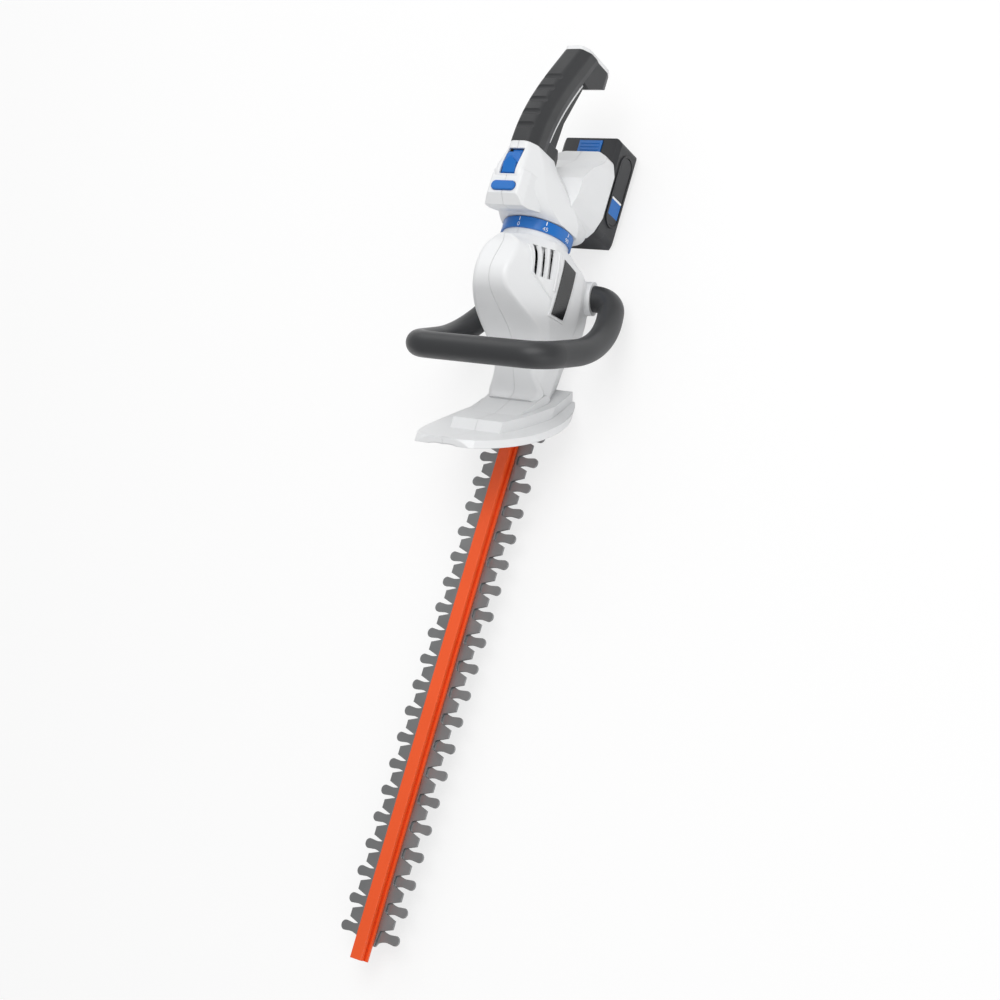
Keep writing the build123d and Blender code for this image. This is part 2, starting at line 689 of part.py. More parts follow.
def guard_band(front, rear):
    # Strip of the curved shield between two depths, measured forward of its rear face.
    points = [(GUARD_FOOT_X, 0), (GUARD_BELLY_X, GUARD_BELLY_Z), (GUARD_TOP_X, GUARD_TOP_Z)]
    lean = atan2(GUARD_TOP_Z, GUARD_TOP_X - GUARD_FOOT_X)
    across = (sin(lean), -cos(lean))
    near = [(x + rear * across[0], z + rear * across[1]) for x, z in points]
    far = [(x + front * across[0], z + front * across[1]) for x, z in points]
    edges = [ThreePointArc(*near), Line(near[2], far[2]), ThreePointArc(*far), Line(far[0], near[0])]
    return extrude(Plane.XZ * make_face(edges), GUARD_W + 20, both=True)


def guard_outline(inset):
    # Front view of the shield: flat foot, round sides, narrower crown.
    foot = (GUARD_FOOT_W, 0)
    waist = (GUARD_W, GUARD_WAIST_Z)
    crown = (GUARD_CROWN_W, GUARD_CROWN_Z)
    low = (GUARD_FOOT_W + (GUARD_W - GUARD_FOOT_W) * GUARD_LOW_BULGE, GUARD_WAIST_Z * GUARD_LOW_RISE)
    high = (GUARD_CROWN_W + (GUARD_W - GUARD_CROWN_W) * GUARD_HIGH_BULGE, (GUARD_WAIST_Z + GUARD_CROWN_Z) / 2)
    brim = (GUARD_CROWN_W * GUARD_BRIM_SHARE, GUARD_TOP_Z - GUARD_BRIM_DROP)
    edges = [Line((0, 0), foot), ThreePointArc(foot, low, waist), ThreePointArc(waist, high, crown),
             ThreePointArc(crown, brim, (0, GUARD_TOP_Z))]
    edges += [mirror(edge, about=Plane.YZ) for edge in edges]
    outline = make_face(edges)
    if inset > 0:
        outline = offset(outline, amount=-inset)
    return extrude(Plane.YZ * outline, BIG, both=True)


def guard():
    plate = guard_band(GUARD_T, 0) & guard_outline(0)
    rim = guard_band(GUARD_RIM_T, 0) & (guard_outline(0) - guard_outline(GUARD_RIM_W))
    # Raised apron that joins the shield to the neck.
    apron_points = [(APRON_TOP_W, APRON_TOP_Z), (APRON_FOOT_W, APRON_FOOT_Z), (GUARD_FOOT_W - 3, 0)]
    apron_points += [(-y, z) for y, z in reversed(apron_points)]
    apron_face = Plane.YZ * Polygon(*apron_points, align=None)
    apron = guard_band(0, -APRON_T) & extrude(apron_face, BIG, both=True)
    return plate + rim + apron + neck_flare()


def neck_flare():
    # Sloping web that carries the neck's top up onto the shield.
    front = FLARE_X + APRON_T
    side = [(FLARE_FOOT_X, FLARE_FOOT_Z), (FLARE_FOOT_X, BODY_BOTTOM_Z), (front, BODY_BOTTOM_Z),
            (front, FLARE_TOP_Z), (FLARE_X, FLARE_TOP_Z)]
    web = side_prism(side, GUARD_W) & long_prism(FLARE_SECTION, BODY_ROUND)
    return web - guard_band(GUARD_W, GUARD_T / 2)


def blade_port():
    # Way through the neck and the shield for the rail, both blades and the support bar.
    low = BAR_Z - BOLT_HEAD_T - PORT_CLEAR
    high = RAIL_Z + RAIL_H + PORT_CLEAR
    half = LOWER_ROOT_W + PORT_CLEAR
    return box_between(RAIL_REAR_X, GUARD_TOP_X + GUARD_RIM_T, -half, half, low, high)


def swivel_socket():
    # Bore, flange groove and wire way cut for the hub of the rear handle.
    groove_x = BODY_REAR_X + WALL / 2
    bore = rod_x(RING_REAR_X - 1, BODY_REAR_X + 4 * WALL, 0, SWIVEL_Z, HUB_R + RUN_CLEAR)
    groove = rod_x(groove_x - RUN_CLEAR, groove_x + HUB_FLANGE_T + RUN_CLEAR, 0, SWIVEL_Z, HUB_FLANGE_R + RUN_CLEAR)
    return bore + groove


def foot_rod(inner, outer, radius):
    # Left-hand cylinder on the foot of the front handle, between two distances along its lead.
    base = handle_corners()[0] + handle_lead() * inner
    bottom = (Align.CENTER, Align.CENTER, Align.MIN)
    return Plane(origin=base, z_dir=handle_lead()) * Cylinder(radius, outer - inner, align=bottom)


def handle_boss():
    return foot_rod(-SOCKET_DEPTH - BOSS_FLOOR, BOSS_RISE, BOSS_R)


def handle_socket():
    return foot_rod(-SOCKET_DEPTH, BOSS_RISE + 1, HANDLE_R + FIT_CLEAR)


def vent_slots():
    slots = None
    for index in range(VENT_COUNT):
        lift = (index - (VENT_COUNT - 1) / 2) * VENT_PITCH
        cut = Pos(VENT_X, 0, VENT_Z) * Rot(0, VENT_TILT, 0) * Pos(0, 0, lift)
        slot = cut * Box(VENT_LENGTH, 4 * TOWER_W, VENT_H)
        slots = slot if slots is None else slots + slot
    return slots


def badge_outline(grow):
    half_l = BADGE_LENGTH / 2 + grow
    half_h = BADGE_H / 2 + grow
    rear = BADGE_REAR_SLANT / 2
    front = BADGE_FRONT_SLANT / 2
    return [(BADGE_X - half_l - rear, BADGE_Z + half_h), (BADGE_X + half_l - front, BADGE_Z + half_h),
            (BADGE_X + half_l + front, BADGE_Z - half_h), (BADGE_X - half_l + rear, BADGE_Z - half_h)]


def badge_block(outer, grow):
    # The part of the body's left side that lies under the badge.
    left = box_between(-BIG, BIG, TOWER_W / 2, BIG, 0, BIG)
    return outer & side_prism(badge_outline(grow), BIG / 2) & left


def badge_frame(outer):
    block = badge_block(outer, BADGE_FRAME)
    return Pos(0, BADGE_T / 2, 0) * block - Pos(0, -WALL / 2, 0) * block


def badge_plate(outer):
    block = badge_block(outer, 0)
    return Pos(0, BADGE_T, 0) * block - block


def case_mounts():
    # Pads inside the left half that reach in to the side of the gear case.
    pads = Part()
    for x in sorted({x for x, y in post_places()}):
        for level in (CASE_FLOOR_Z + CASE_T / 2, case_top_z() + CASE_T / 2):
            pads += rod_y(x, CASE_W, TOWER_W, level, CASE_T / 2)
    return pads


def main_outer():
    # The body's solid form, ended inside the thickness of the shield.
    return lofted(main_stations(), BODY_ROUND, 0) - guard_band(GUARD_W, GUARD_T / 2)


def main_hollow():
    # Left side of the hollow, less the pads, boss, screw posts and swivel seat that stand in it.
    hollow = left_half(lofted(cavity_stations(), BODY_ROUND, WALL)) - guard_band(GUARD_W, 0)
    hollow -= case_mounts()
    hollow -= handle_boss()
    hollow -= rod_x(BODY_REAR_X, BODY_REAR_X + 4 * WALL, 0, SWIVEL_Z, RING_R - RING_T)
    for x, z, seat in MAIN_SCREWS:
        hollow -= rod_y(x, -BIG, BIG, z, SCREW_HEAD_R + WALL / 2)
    return hollow


def main_half(outer):
    # Left half of the body, before what differs from side to side.
    collar = rod_x(RING_REAR_X + REAR_GAP, BODY_REAR_X + WALL, 0, SWIVEL_Z, RING_R - RING_T - FIT_CLEAR)
    half = left_half(outer + guard() + collar)
    half += handle_boss()
    half -= main_hollow()
    half -= blade_port()
    half -= swivel_socket()
    half -= vent_slots()
    half -= handle_socket()
    return half - handle_pin(1, FIT_CLEAR)


def with_screw_holes(half, places):
    for x, z, seat in places:
        half -= screw_hole(x, z, seat)
    return half


# Front handle

def handle_corners():
    return [Vector(HANDLE_FOOT_X, HANDLE_FOOT_W, HANDLE_FOOT_Z), Vector(HANDLE_ANKLE_X, HANDLE_ANKLE_W, HANDLE_ANKLE_Z),
            Vector(HANDLE_KNEE_X, HANDLE_KNEE_W, HANDLE_KNEE_Z), Vector(HANDLE_TOP_X, HANDLE_TOP_W, HANDLE_TOP_Z)]


def handle_lead():
    # Direction in which the tube leaves the left side of the body.
    foot, ankle = handle_corners()[:2]
    return (ankle - foot).normalized()


def handle_start():
    return handle_corners()[0] - handle_lead() * SOCKET_DEPTH


def handle_path():
    # Bow: out of each side of the body, forward, up and across the top.
    left = [handle_start()] + handle_corners()[1:]
    points = left + [Vector(v.X, -v.Y, v.Z) for v in reversed(left)]
    bends = [HANDLE_ANKLE_BEND, HANDLE_KNEE_BEND, HANDLE_TOP_BEND]
    bends += reversed(bends)
    edges = []
    here = points[0]
    for index, bend in enumerate(bends):
        corner = points[index + 1]
        back = (points[index] - corner).normalized()
        on = (points[index + 2] - corner).normalized()
        half = radians(back.get_angle(on)) / 2
        start = corner + back * (bend / tan(half))
        end = corner + on * (bend / tan(half))
        inward = (back + on).normalized()
        middle = corner + inward * (bend / sin(half) - bend)
        edges.append(Line(here, start))
        edges.append(ThreePointArc(start, middle, end))
        here = end
    edges.append(Line(here, points[-1]))
    return Wire(edges)


def front_handle():
    end_plane = Plane(origin=handle_start(), z_dir=handle_lead())
    tube = sweep(end_plane * (Circle(HANDLE_R) - Circle(HANDLE_BORE)), path=handle_path())
    for side in (1, -1):
        tube -= handle_pin(side, FIT_CLEAR)
    return tube


def handle_pin(side, clearance):
    middle = handle_corners()[0] - handle_lead() * (SOCKET_DEPTH / 2)
    reach = BOSS_R - 1.0
    return rod_x(middle.X - reach, middle.X + reach, side * middle.Y, middle.Z, SCREW_R + clearance)


def front_handle_pins():
    return Compound([handle_pin(1, 0), handle_pin(-1, 0)])


# Swivel pieces

def angle_ring():
    outer = rod_x(RING_REAR_X, RING_REAR_X + RING_W, 0, SWIVEL_Z, RING_R)
    return outer - rod_x(RING_REAR_X - 1, RING_REAR_X + RING_W + 1, 0, SWIVEL_Z, RING_R - RING_T)


def swivel_hub():
    groove_x = BODY_REAR_X + WALL / 2
    tube = rod_x(REAR_FACE_X - WALL, groove_x + HUB_FLANGE_T, 0, SWIVEL_Z, HUB_R)
    tube += rod_x(groove_x, groove_x + HUB_FLANGE_T, 0, SWIVEL_Z, HUB_FLANGE_R)
    return tube - rod_x(REAR_FACE_X - 2 * WALL, groove_x + HUB_FLANGE_T + 1, 0, SWIVEL_Z, HUB_BORE)


def lead_meeting_x():
    return BODY_REAR_X + WALL / 2 + HUB_FLANGE_T


def front_lead():
    # Motor lead, from the turning point of the handle to the side of the motor.
    lead = rod_x(lead_meeting_x() + RUN_CLEAR, MOTOR_X, 0, SWIVEL_Z, LEAD_R)
    return lead - rod(MOTOR_X, 0, 0, BIG, MOTOR_R)


def rear_lead():
    return rod_x(SWITCH_X + SWITCH_LENGTH / 2, lead_meeting_x(), 0, SWIVEL_Z, LEAD_R)


# Rear housing

def rear_stations():
    return [(REAR_FACE_X, swivel_octagon()), (REAR_BULGE_X, REAR_BULGE_SECTION),
            (REAR_WAIST_X, REAR_WAIST_SECTION), (GRIP_ROOT_X, REAR_ROOT_SECTION)]


def rear_cavity_stations():
    stations = rear_stations()
    first_x, first = stations[0]
    last_x, last = stations[-1]
    return [(first_x - WALL, first)] + stations[1:-1] + [(last_x + WALL, last)]


def chin():
    # Brow over the ring that carries the swivel release.
    rear = REAR_BULGE_X - CHIN_OVERLAP
    side = [(CHIN_FRONT_X, CHIN_NOSE_TOP_Z), (CHIN_FRONT_X - 1, CHIN_NOSE_LOW_Z), (REAR_FACE_X - 1, CHIN_UNDER_Z),
            (rear, CHIN_REAR_Z), (rear, REAR_TOP_Z - 1), (RELEASE_X - RELEASE_LENGTH, REAR_TOP_Z),
            (RELEASE_X + RELEASE_LENGTH * 0.8, REAR_TOP_Z)]
    return side_prism(side, SHOE_W) & long_prism(CHIN_SECTION, CHIN_ROUND)


def shoe():
    # Wide foot of the rear housing that the battery pack slides onto.
    plan = SHOE_PLAN + [(x, -y) for x, y in reversed(SHOE_PLAN)]
    footprint = fillet(Polygon(*plan, align=None).vertices(), BODY_ROUND)
    body = extrude(Plane.XY.offset(SHOE_BOTTOM_Z) * footprint, SHOE_TOP_Z)
    return body & side_prism(SHOE_SIDE, SHOE_W + 1) & long_prism(SHOE_SECTION, BODY_ROUND)


def tongue_room():
    # Space in the shoe for the pack's tongue, with the two rails left standing.
    high = SHOE_BOTTOM_Z + TONGUE_H + SLIDE_CLEAR
    half = TONGUE_W + SLIDE_CLEAR
    room = box_between(SHOE_REAR_X - 1, TONGUE_FRONT_X + TERMINAL_T + SLIDE_CLEAR, -half, half, SHOE_BOTTOM_Z - 1, high)
    for side in (1, -1):
        y0, y1 = sorted((side * (half - TONGUE_GROOVE), side * (half + 1)))
        room -= box_between(SHOE_REAR_X - 2, TONGUE_FRONT_X + BIG, y0, y1, rail_low(), rail_low() + TONGUE_GROOVE)
    return room


def rail_low():
    return SHOE_BOTTOM_Z + TONGUE_H * 0.4


def grip_top(x):
    # Height of the grip's back, a curve through its four stations.
    xs = [GRIP_ROOT_X, GRIP_MID_X, GRIP_DROP_X, GRIP_END_X]
    zs = [GRIP_ROOT_Z, GRIP_MID_Z, GRIP_DROP_Z, GRIP_END_Z]
    height = 0
    for index, station in enumerate(xs):
        share = zs[index]
        for other in xs:
            if other != station:
                share *= (x - other) / (station - other)
        height += share
    return height


def grip_strip(x0, x1, drop_top, drop_bottom, half_width):
    # Prism that follows the grip's back between two depths below it.
    steps = 8
    xs = [x0 + (x1 - x0) * index / steps for index in range(steps + 1)]
    points = [(x, grip_top(x) - drop_top) for x in xs]
    points += [(x, grip_top(x) - drop_bottom) for x in reversed(xs)]
    return side_prism(points, half_width)


def pocket_half():
    return TRIGGER_W + BUTTON_CLEAR


def grip_core():
    # White spine inside the grip: a channel whose two lips show beside the trigger.
    rise = GRIP_H - TRIGGER_SEAT - TRIGGER_ROOM - WALL
    return grip_strip(GRIP_ROOT_X + CORE_OVERLAP, CORE_REAR_X, rise, GRIP_H + CORE_LIP, CORE_W)


def trigger_pocket():
    rise = GRIP_H - TRIGGER_SEAT - TRIGGER_ROOM
    return grip_strip(TRIGGER_FRONT_X + BUTTON_CLEAR, TRIGGER_REAR_X - BUTTON_CLEAR, rise, 2 * GRIP_H, pocket_half())


def rear_shell():
    outer = lofted(rear_stations(), BODY_ROUND, 0)
    cavity = lofted(rear_cavity_stations(), BODY_ROUND, WALL)
    keep = box_between(-BIG * 2, BIG, -BIG, BIG, SHOE_BOTTOM_Z + TONGUE_H + 4 * WALL, BIG)
    shell = outer + chin() + shoe() + grip_core()
    shell -= cavity & keep
    for side in (1, -1):
        y0, y1 = sorted((side * SWITCH_W, side * SHOE_W))
        shell += rod_y(SWITCH_X, y0, y1, SWIVEL_Z + SWITCH_PEG_RISE, SWITCH_PEG_R) & outer
    for x, z, seat in REAR_SCREWS:
        shell += rod_y(x, -SHOE_W, SHOE_W, z, SCREW_HEAD_R + WALL / 2) & outer
    shell -= trigger_pocket()
    shell -= tongue_room()
    shell -= rod_x(REAR_FACE_X - WALL, REAR_FACE_X + 1, 0, SWIVEL_Z, HUB_R + FIT_CLEAR)
    shell -= rod_x(REAR_FACE_X - 3 * WALL, REAR_FACE_X + 1, 0, SWIVEL_Z, HUB_BORE)
    shell -= lock_opening()
    shell -= release_shape(BUTTON_CLEAR, RELEASE_TRAVEL)
    shell -= rod_y(PIVOT_X, -BIG, BIG, PIVOT_Z, PIN_R + FIT_CLEAR)
    for x, z, seat in REAR_SCREWS:
        shell -= screw_hole(x, z, seat)
    return shell


def screw_hole(x, z, seat):
    hole = rod_y(x, -BIG, SCREW_GRIP, z, SCREW_R + FIT_CLEAR)
    return hole + rod_y(x, -BIG, -seat, z, SCREW_HEAD_R + SLOT_CLEAR)


def screw_set(places):
    return Compound([screw_y(x, z, -seat, SCREW_GRIP - 1) for x, z, seat in places])


def grip_overmould():
    stations = []
    for x in (GRIP_ROOT_X, GRIP_MID_X, GRIP_DROP_X, GRIP_END_X):
        top = grip_top(x)
        corners = [(GRIP_CROWN_W, top), (GRIP_W, top - GRIP_SHOULDER), (GRIP_W, top - GRIP_FLANK),
                   (GRIP_W - GRIP_TUCK, top - GRIP_H)]
        stations.append((x, corners))
    bar = lofted(stations, GRIP_ROUND, 0)
    heel_x = TRIGGER_FRONT_X + BUTTON_CLEAR
    heel = [(GRIP_ROOT_X, HEEL_TOP_Z), (GRIP_ROOT_X, HEEL_LOW_Z), (GRIP_ROOT_X - HEEL_FLAT, HEEL_LOW_Z + 1),
            (heel_x, TRIGGER_FRONT_Z), (heel_x, HEEL_TOP_Z)]
    heel_outline = extrude(Plane.YZ * ring_section(HEEL_SECTION, GRIP_ROUND, 0), BIG * 2, both=True)
    grip = bar + pommel_hook() + (side_prism(heel, GRIP_W) & heel_outline)
    grip -= grip_core()
    grip -= trigger_pocket()
    grip -= rod_y(PIVOT_X, -BIG, BIG, PIVOT_Z, PIN_R + FIT_CLEAR)
    for index in range(GRIP_GROOVES):
        grip -= grip_groove(GRIP_GROOVE_X - index * GRIP_GROOVE_PITCH)
    return grip


def pommel_hook():
    # Hooked end of the grip, with its underside and front rounded.
    rear = TRIGGER_REAR_X - HOOK_OVERLAP
    profile = [(rear, GRIP_END_Z), (GRIP_END_X, GRIP_END_Z), (GRIP_END_X, POMMEL_Z),
               (GRIP_END_X + HOOK_TOE, POMMEL_Z + 2), (GRIP_END_X + HOOK_FRONT, HOOK_FRONT_Z),
               (TRIGGER_REAR_X - 2, HOOK_THROAT_Z)]
    outline = Polygon(*profile, align=None)
    free = [v for v in outline.vertices() if v.X > GRIP_END_X + 1 and v.Y < HOOK_THROAT_Z - 1]
    outline = fillet(free, HOOK_ROUND)
    side = extrude(Plane.XZ * outline, POMMEL_W, both=True)
    return side & extrude(Plane.YZ * cap_outline(), BIG * 2, both=True)


def grip_groove(x):
    # Shallow round notch across the back of the grip, running out down the sides.
    return rod_y(x, -GRIP_W - 1, GRIP_W + 1, grip_top(x) + GRIP_GROOVE_R - GRIP_GROOVE_D, GRIP_GROOVE_R)


def cap_outline():
    corners = [(GRIP_CROWN_W, GRIP_END_Z), (POMMEL_W, GRIP_END_Z - POMMEL_SHOULDER),
               (POMMEL_W, POMMEL_Z + POMMEL_HEEL), (GRIP_CROWN_W, POMMEL_Z)]
    return ring_section(corners, GRIP_ROUND, 0)


def grip_end_cap():
    return extrude(Plane.YZ.offset(CAP_END_X) * cap_outline(), GRIP_CAP_T, dir=(1, 0, 0))


# Trigger and buttons

def trigger():
    lever = grip_strip(TRIGGER_FRONT_X, TRIGGER_REAR_X, GRIP_H - TRIGGER_SEAT, 2 * GRIP_H, TRIGGER_W)
    under = [(TRIGGER_FRONT_X + 1, TRIGGER_FRONT_Z), (GRIP_MID_X, TRIGGER_MID_Z), (TRIGGER_REAR_X - 1, TRIGGER_REAR_Z),
             (TRIGGER_REAR_X - 1, REAR_TOP_Z), (TRIGGER_FRONT_X + 1, REAR_TOP_Z)]
    lever = lever & side_prism(under, TRIGGER_W)
    return lever - rod_y(PIVOT_X, -BIG, BIG, PIVOT_Z, PIN_R + FIT_CLEAR)


def trigger_pin():
    return rod_y(PIVOT_X, -CORE_W, CORE_W, PIVOT_Z, PIN_R)


def lock_opening():
    rear = LOCK_X - LOCK_LENGTH / 2 - LOCK_TRAVEL - BUTTON_CLEAR
    front = LOCK_X + LOCK_LENGTH / 2 + BUTTON_CLEAR
    half = LOCK_W + BUTTON_CLEAR
    return box_between(rear, front, -half, half, REAR_TOP_Z - LOCK_DEPTH - BUTTON_CLEAR, REAR_TOP_Z + 20)


def lock_off_slider():
    # Thumb slide: a block with a ridge across it and a ramp down to the front.
    low = REAR_TOP_Z - LOCK_DEPTH
    rear = LOCK_X - LOCK_LENGTH / 2
    front = LOCK_X + LOCK_LENGTH / 2
    side = [(rear, low), (front, low), (front, REAR_TOP_Z - 1), (LOCK_X + 1, REAR_TOP_Z + 1),
            (LOCK_X - 2, REAR_TOP_Z + LOCK_RISE), (rear + 2, REAR_TOP_Z + 1), (rear, REAR_TOP_Z - 1)]
    # The thumb piece comes to a blunt point towards the grip.
    shoulder = rear + LOCK_POINT
    plan = [(front, -LOCK_W), (front, LOCK_W), (shoulder, LOCK_W),
            (rear, LOCK_TIP), (rear, -LOCK_TIP), (shoulder, -LOCK_W)]
    thumb = extrude(Plane.XY.offset(low) * Polygon(*plan, align=None), LOCK_DEPTH + LOCK_RISE + 1)
    # The foot stops short of the rear, where the shell closes in.
    half = LOCK_W + LOCK_FOOT
    foot = box_between(rear + LOCK_FOOT_BACK, front, -half, half, low, low + LOCK_FOOT)
    return (side_prism(side, LOCK_W) & thumb) + foot


def release_shape(grow, deeper):
    pill = RectangleRounded(RELEASE_LENGTH + 2 * grow, 2 * (RELEASE_W + grow), (RELEASE_LENGTH + 2 * grow) / 2 - 0.05)
    low = REAR_TOP_Z - RELEASE_DEPTH - deeper - grow
    high = REAR_TOP_Z + RELEASE_RISE + BIG * (1 if grow > 0 else 0)
    return extrude(Plane.XY.offset(low) * Pos(RELEASE_X, 0) * pill, high - low)


def swivel_release():
    pill = release_shape(0, 0)
    return chamfer(pill.faces().sort_by(Axis.Z)[-1].edges(), RELEASE_CHAMFER)


def control_switch():
    return box_between(SWITCH_X - SWITCH_LENGTH / 2, SWITCH_X + SWITCH_LENGTH / 2, -SWITCH_W, SWITCH_W,
                       SWIVEL_Z - SWITCH_DROP, SWIVEL_Z + SWITCH_RISE)


def terminal_block():
    high = SHOE_BOTTOM_Z + TONGUE_H + SLIDE_CLEAR
    front = TONGUE_FRONT_X + TERMINAL_T + SLIDE_CLEAR
    half = TONGUE_W - TONGUE_GROOVE
    block = box_between(front - TERMINAL_T, front, -half, half, SHOE_BOTTOM_Z, high)
    for place in (-1, 0, 1):
        y = place * TERMINAL_PITCH
        block += box_between(front - TERMINAL_T - TERMINAL_REACH, front - TERMINAL_T, y - TERMINAL_BLADE,
                             y + TERMINAL_BLADE, SHOE_BOTTOM_Z + 2, high - 2)
    return block


# Battery pack

def pack_body():
    corners = [(PACK_W - PACK_TOP_CHAMFER, PACK_H), (PACK_W, PACK_H - PACK_TOP_CHAMFER), (PACK_W, PACK_CHAMFER),
               (PACK_W - PACK_CHAMFER, 0)]
    mirrored = [(-y, z) for y, z in reversed(corners)]
    outline = Polygon(*corners, *mirrored, align=None)
    return extrude(Plane.YZ.offset(PACK_REAR_X) * outline, PACK_LENGTH, dir=(1, 0, 0))


def pack_ends():
    # Plan of the pack, with its corners taken off.
    plan = RectangleRounded(PACK_LENGTH, 2 * PACK_W, PACK_CHAMFER)
    return extrude(Pos((PACK_FRONT_X + PACK_REAR_X) / 2, 0) * plan, PACK_H)


def pack_room():
    return box_between(PACK_REAR_X + 2 * PACK_WALL, PACK_FRONT_X - 2 * PACK_WALL, PACK_WALL * 2 - PACK_W,
                       PACK_W - PACK_WALL * 2, PACK_WALL, PACK_H - LATCH_H - LATCH_TRAVEL - PACK_WALL)


def pack_lower_case():
    low = box_between(-BIG * 2, BIG, -BIG, BIG, 0, PACK_SPLIT_Z)
    return (pack_body() & pack_ends() & low) - pack_room() - pack_side_trim(1) - pack_side_trim(-1)


def tongue():
    block = box_between(TONGUE_REAR_X, TONGUE_FRONT_X, -TONGUE_W, TONGUE_W, PACK_H - 1, SHOE_BOTTOM_Z + TONGUE_H)
    for side in (1, -1):
        y0, y1 = sorted((side * (TONGUE_W - TONGUE_GROOVE), side * (TONGUE_W + 1)))
        block -= box_between(TONGUE_REAR_X - 1, TONGUE_FRONT_X + 1, y0, y1, rail_low() - SLIDE_CLEAR,
                             rail_low() + TONGUE_GROOVE + SLIDE_CLEAR)
    for place in (-1, 0, 1):
        y = place * TERMINAL_PITCH
        half = TERMINAL_BLADE + SLIDE_CLEAR
        block -= box_between(TONGUE_FRONT_X - TERMINAL_REACH - 2, TONGUE_FRONT_X + 1, y - half, y + half,
                             SHOE_BOTTOM_Z + 1, SHOE_BOTTOM_Z + TONGUE_H + 1)
    return block


def pack_upper_case():
    high = box_between(-BIG * 2, BIG, -BIG, BIG, PACK_SPLIT_Z, BIG)
    case = (pack_body() & pack_ends() & high) + tongue()
    case -= pack_room()
    case = case - pack_side_trim(1) - pack_side_trim(-1)
    return case - latch_block(BUTTON_CLEAR, LATCH_TRAVEL, BIG)


def latch_block(grow, deeper, higher):
    middle = PACK_REAR_X + LATCH_INSET + LATCH_LENGTH / 2
    return box_between(middle - LATCH_LENGTH / 2 - grow, middle + LATCH_LENGTH / 2 + grow, -LATCH_W - grow,
                       LATCH_W + grow, PACK_H - LATCH_H - deeper - grow, PACK_H + LATCH_RISE + higher)


def pack_latch():
    # Push latch with three grip waves across its top.
    latch = latch_block(0, 0, 0)
    middle = PACK_REAR_X + LATCH_INSET + LATCH_LENGTH / 2
    for place in (-1, 0, 1):
        x = middle + place * LATCH_WAVE_PITCH
        half = LATCH_W - LATCH_WAVE_MARGIN
        latch -= rod_y(x, -half, half, PACK_H + LATCH_RISE + LATCH_WAVE_R / 2, LATCH_WAVE_R)
    return latch


def pack_cells():
    cells = []
    span = 2 * CELL_R + 1.0
    middle = (PACK_FRONT_X + PACK_REAR_X) / 2
    for index in range(CELL_COUNT):
        x = middle + (index - (CELL_COUNT - 1) / 2) * span
        cells.append(rod_y(x, -CELL_LENGTH / 2, CELL_LENGTH / 2, PACK_WALL + CELL_R, CELL_R))
    return Compound(cells)


def pack_side_trim(side):
    y0, y1 = sorted((side * (PACK_W - TRIM_SEAT), side * (PACK_W + TRIM_RISE)))
    rear = PACK_REAR_X + TRIM_REAR_INSET
    front = PACK_FRONT_X - TRIM_FRONT_INSET
    return box_between(rear, front, y0, y1, TRIM_LOW_Z, TRIM_HIGH_Z)


# Assembly

def build():
    outer = main_outer()
    badge = badge_plate(outer)
    half = main_half(outer)
    rear = rear_shell()
    return {
        "main_housing_left": with_screw_holes(half + badge_frame(outer) - badge, MAIN_SCREWS),
        "main_housing_right": with_screw_holes(mirror(half, about=Plane.XZ), MAIN_SCREWS),
        "main_housing_screws": screw_set(MAIN_SCREWS),
        "angle_ring": angle_ring(),
        "badge_plate": badge,
        "front_handle": front_handle(),
        "front_handle_pins": front_handle_pins(),
        "front_lead": front_lead(),
        "blade_rail": blade_rail(),
        "blade_support_bar": support_bar(),
        "blade_bolts": blade_bolts(),
        "gear_case_floor": gear_case_floor(),
        "gear_case_top": gear_case_top(),
        "gear_axle": gear_axle(),
        "gear_washers": gear_washers(),
        "motor_can": motor_can(),
        "motor_end_cap": motor_end_cap(),
        "motor_shaft": motor_shaft(),
        "motor_rotor": motor_rotor(),
        "motor_pinion": motor_pinion(),
        "drive_gear": drive_gear(),
        "upper_eccentric": upper_eccentric(),
        "lower_eccentric": lower_eccentric(),
        "upper_blade": upper_blade(),
        "lower_blade": lower_blade(),
        "rear_housing_left": left_half(rear),
        "rear_housing_right": right_half(rear),
        "rear_housing_screws": screw_set(REAR_SCREWS),
        "swivel_hub": swivel_hub(),
        "rear_lead": rear_lead(),
        "control_switch": control_switch(),
        "terminal_block": terminal_block(),
        "grip_overmould": grip_overmould(),
        "grip_end_cap": grip_end_cap(),
        "trigger": trigger(),
        "trigger_pin": trigger_pin(),
        "lock_off_slider": lock_off_slider(),
        "swivel_release": swivel_release(),
        "pack_lower_case": pack_lower_case(),
        "pack_upper_case": pack_upper_case(),
        "pack_cells": pack_cells(),
        "pack_trim_left": pack_side_trim(1),
        "pack_trim_right": pack_side_trim(-1),
        "pack_latch": pack_latch(),
    }


def main():
    os.makedirs("parts", exist_ok=True)
    for name, shape in build().items():
        export_step(Pos(-MID_X, 0, 0) * shape, os.path.join("parts", name + ".step"))


if __name__ == "__main__":
    main()
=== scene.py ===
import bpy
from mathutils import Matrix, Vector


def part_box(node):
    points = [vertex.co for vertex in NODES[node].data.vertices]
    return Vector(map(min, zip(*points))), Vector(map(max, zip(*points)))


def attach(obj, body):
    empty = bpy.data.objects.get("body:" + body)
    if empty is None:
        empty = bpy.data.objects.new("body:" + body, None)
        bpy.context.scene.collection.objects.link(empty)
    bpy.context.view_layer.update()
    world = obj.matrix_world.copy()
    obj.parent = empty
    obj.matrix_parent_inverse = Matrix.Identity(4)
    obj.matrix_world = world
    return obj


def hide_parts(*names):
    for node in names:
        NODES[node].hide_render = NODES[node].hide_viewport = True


bl_info = {
    "name": "Cordless Hedge Trimmer",
    "version": (1, 0, 0),
    "blender": (4, 5, 0),
    "location": "3D View > Sidebar > Hedge Trimmer",
    "description": "Finishes and small pieces of a cordless hedge trimmer, on its packed solids",
    "category": "Object",
}

from math import cos, radians, sin

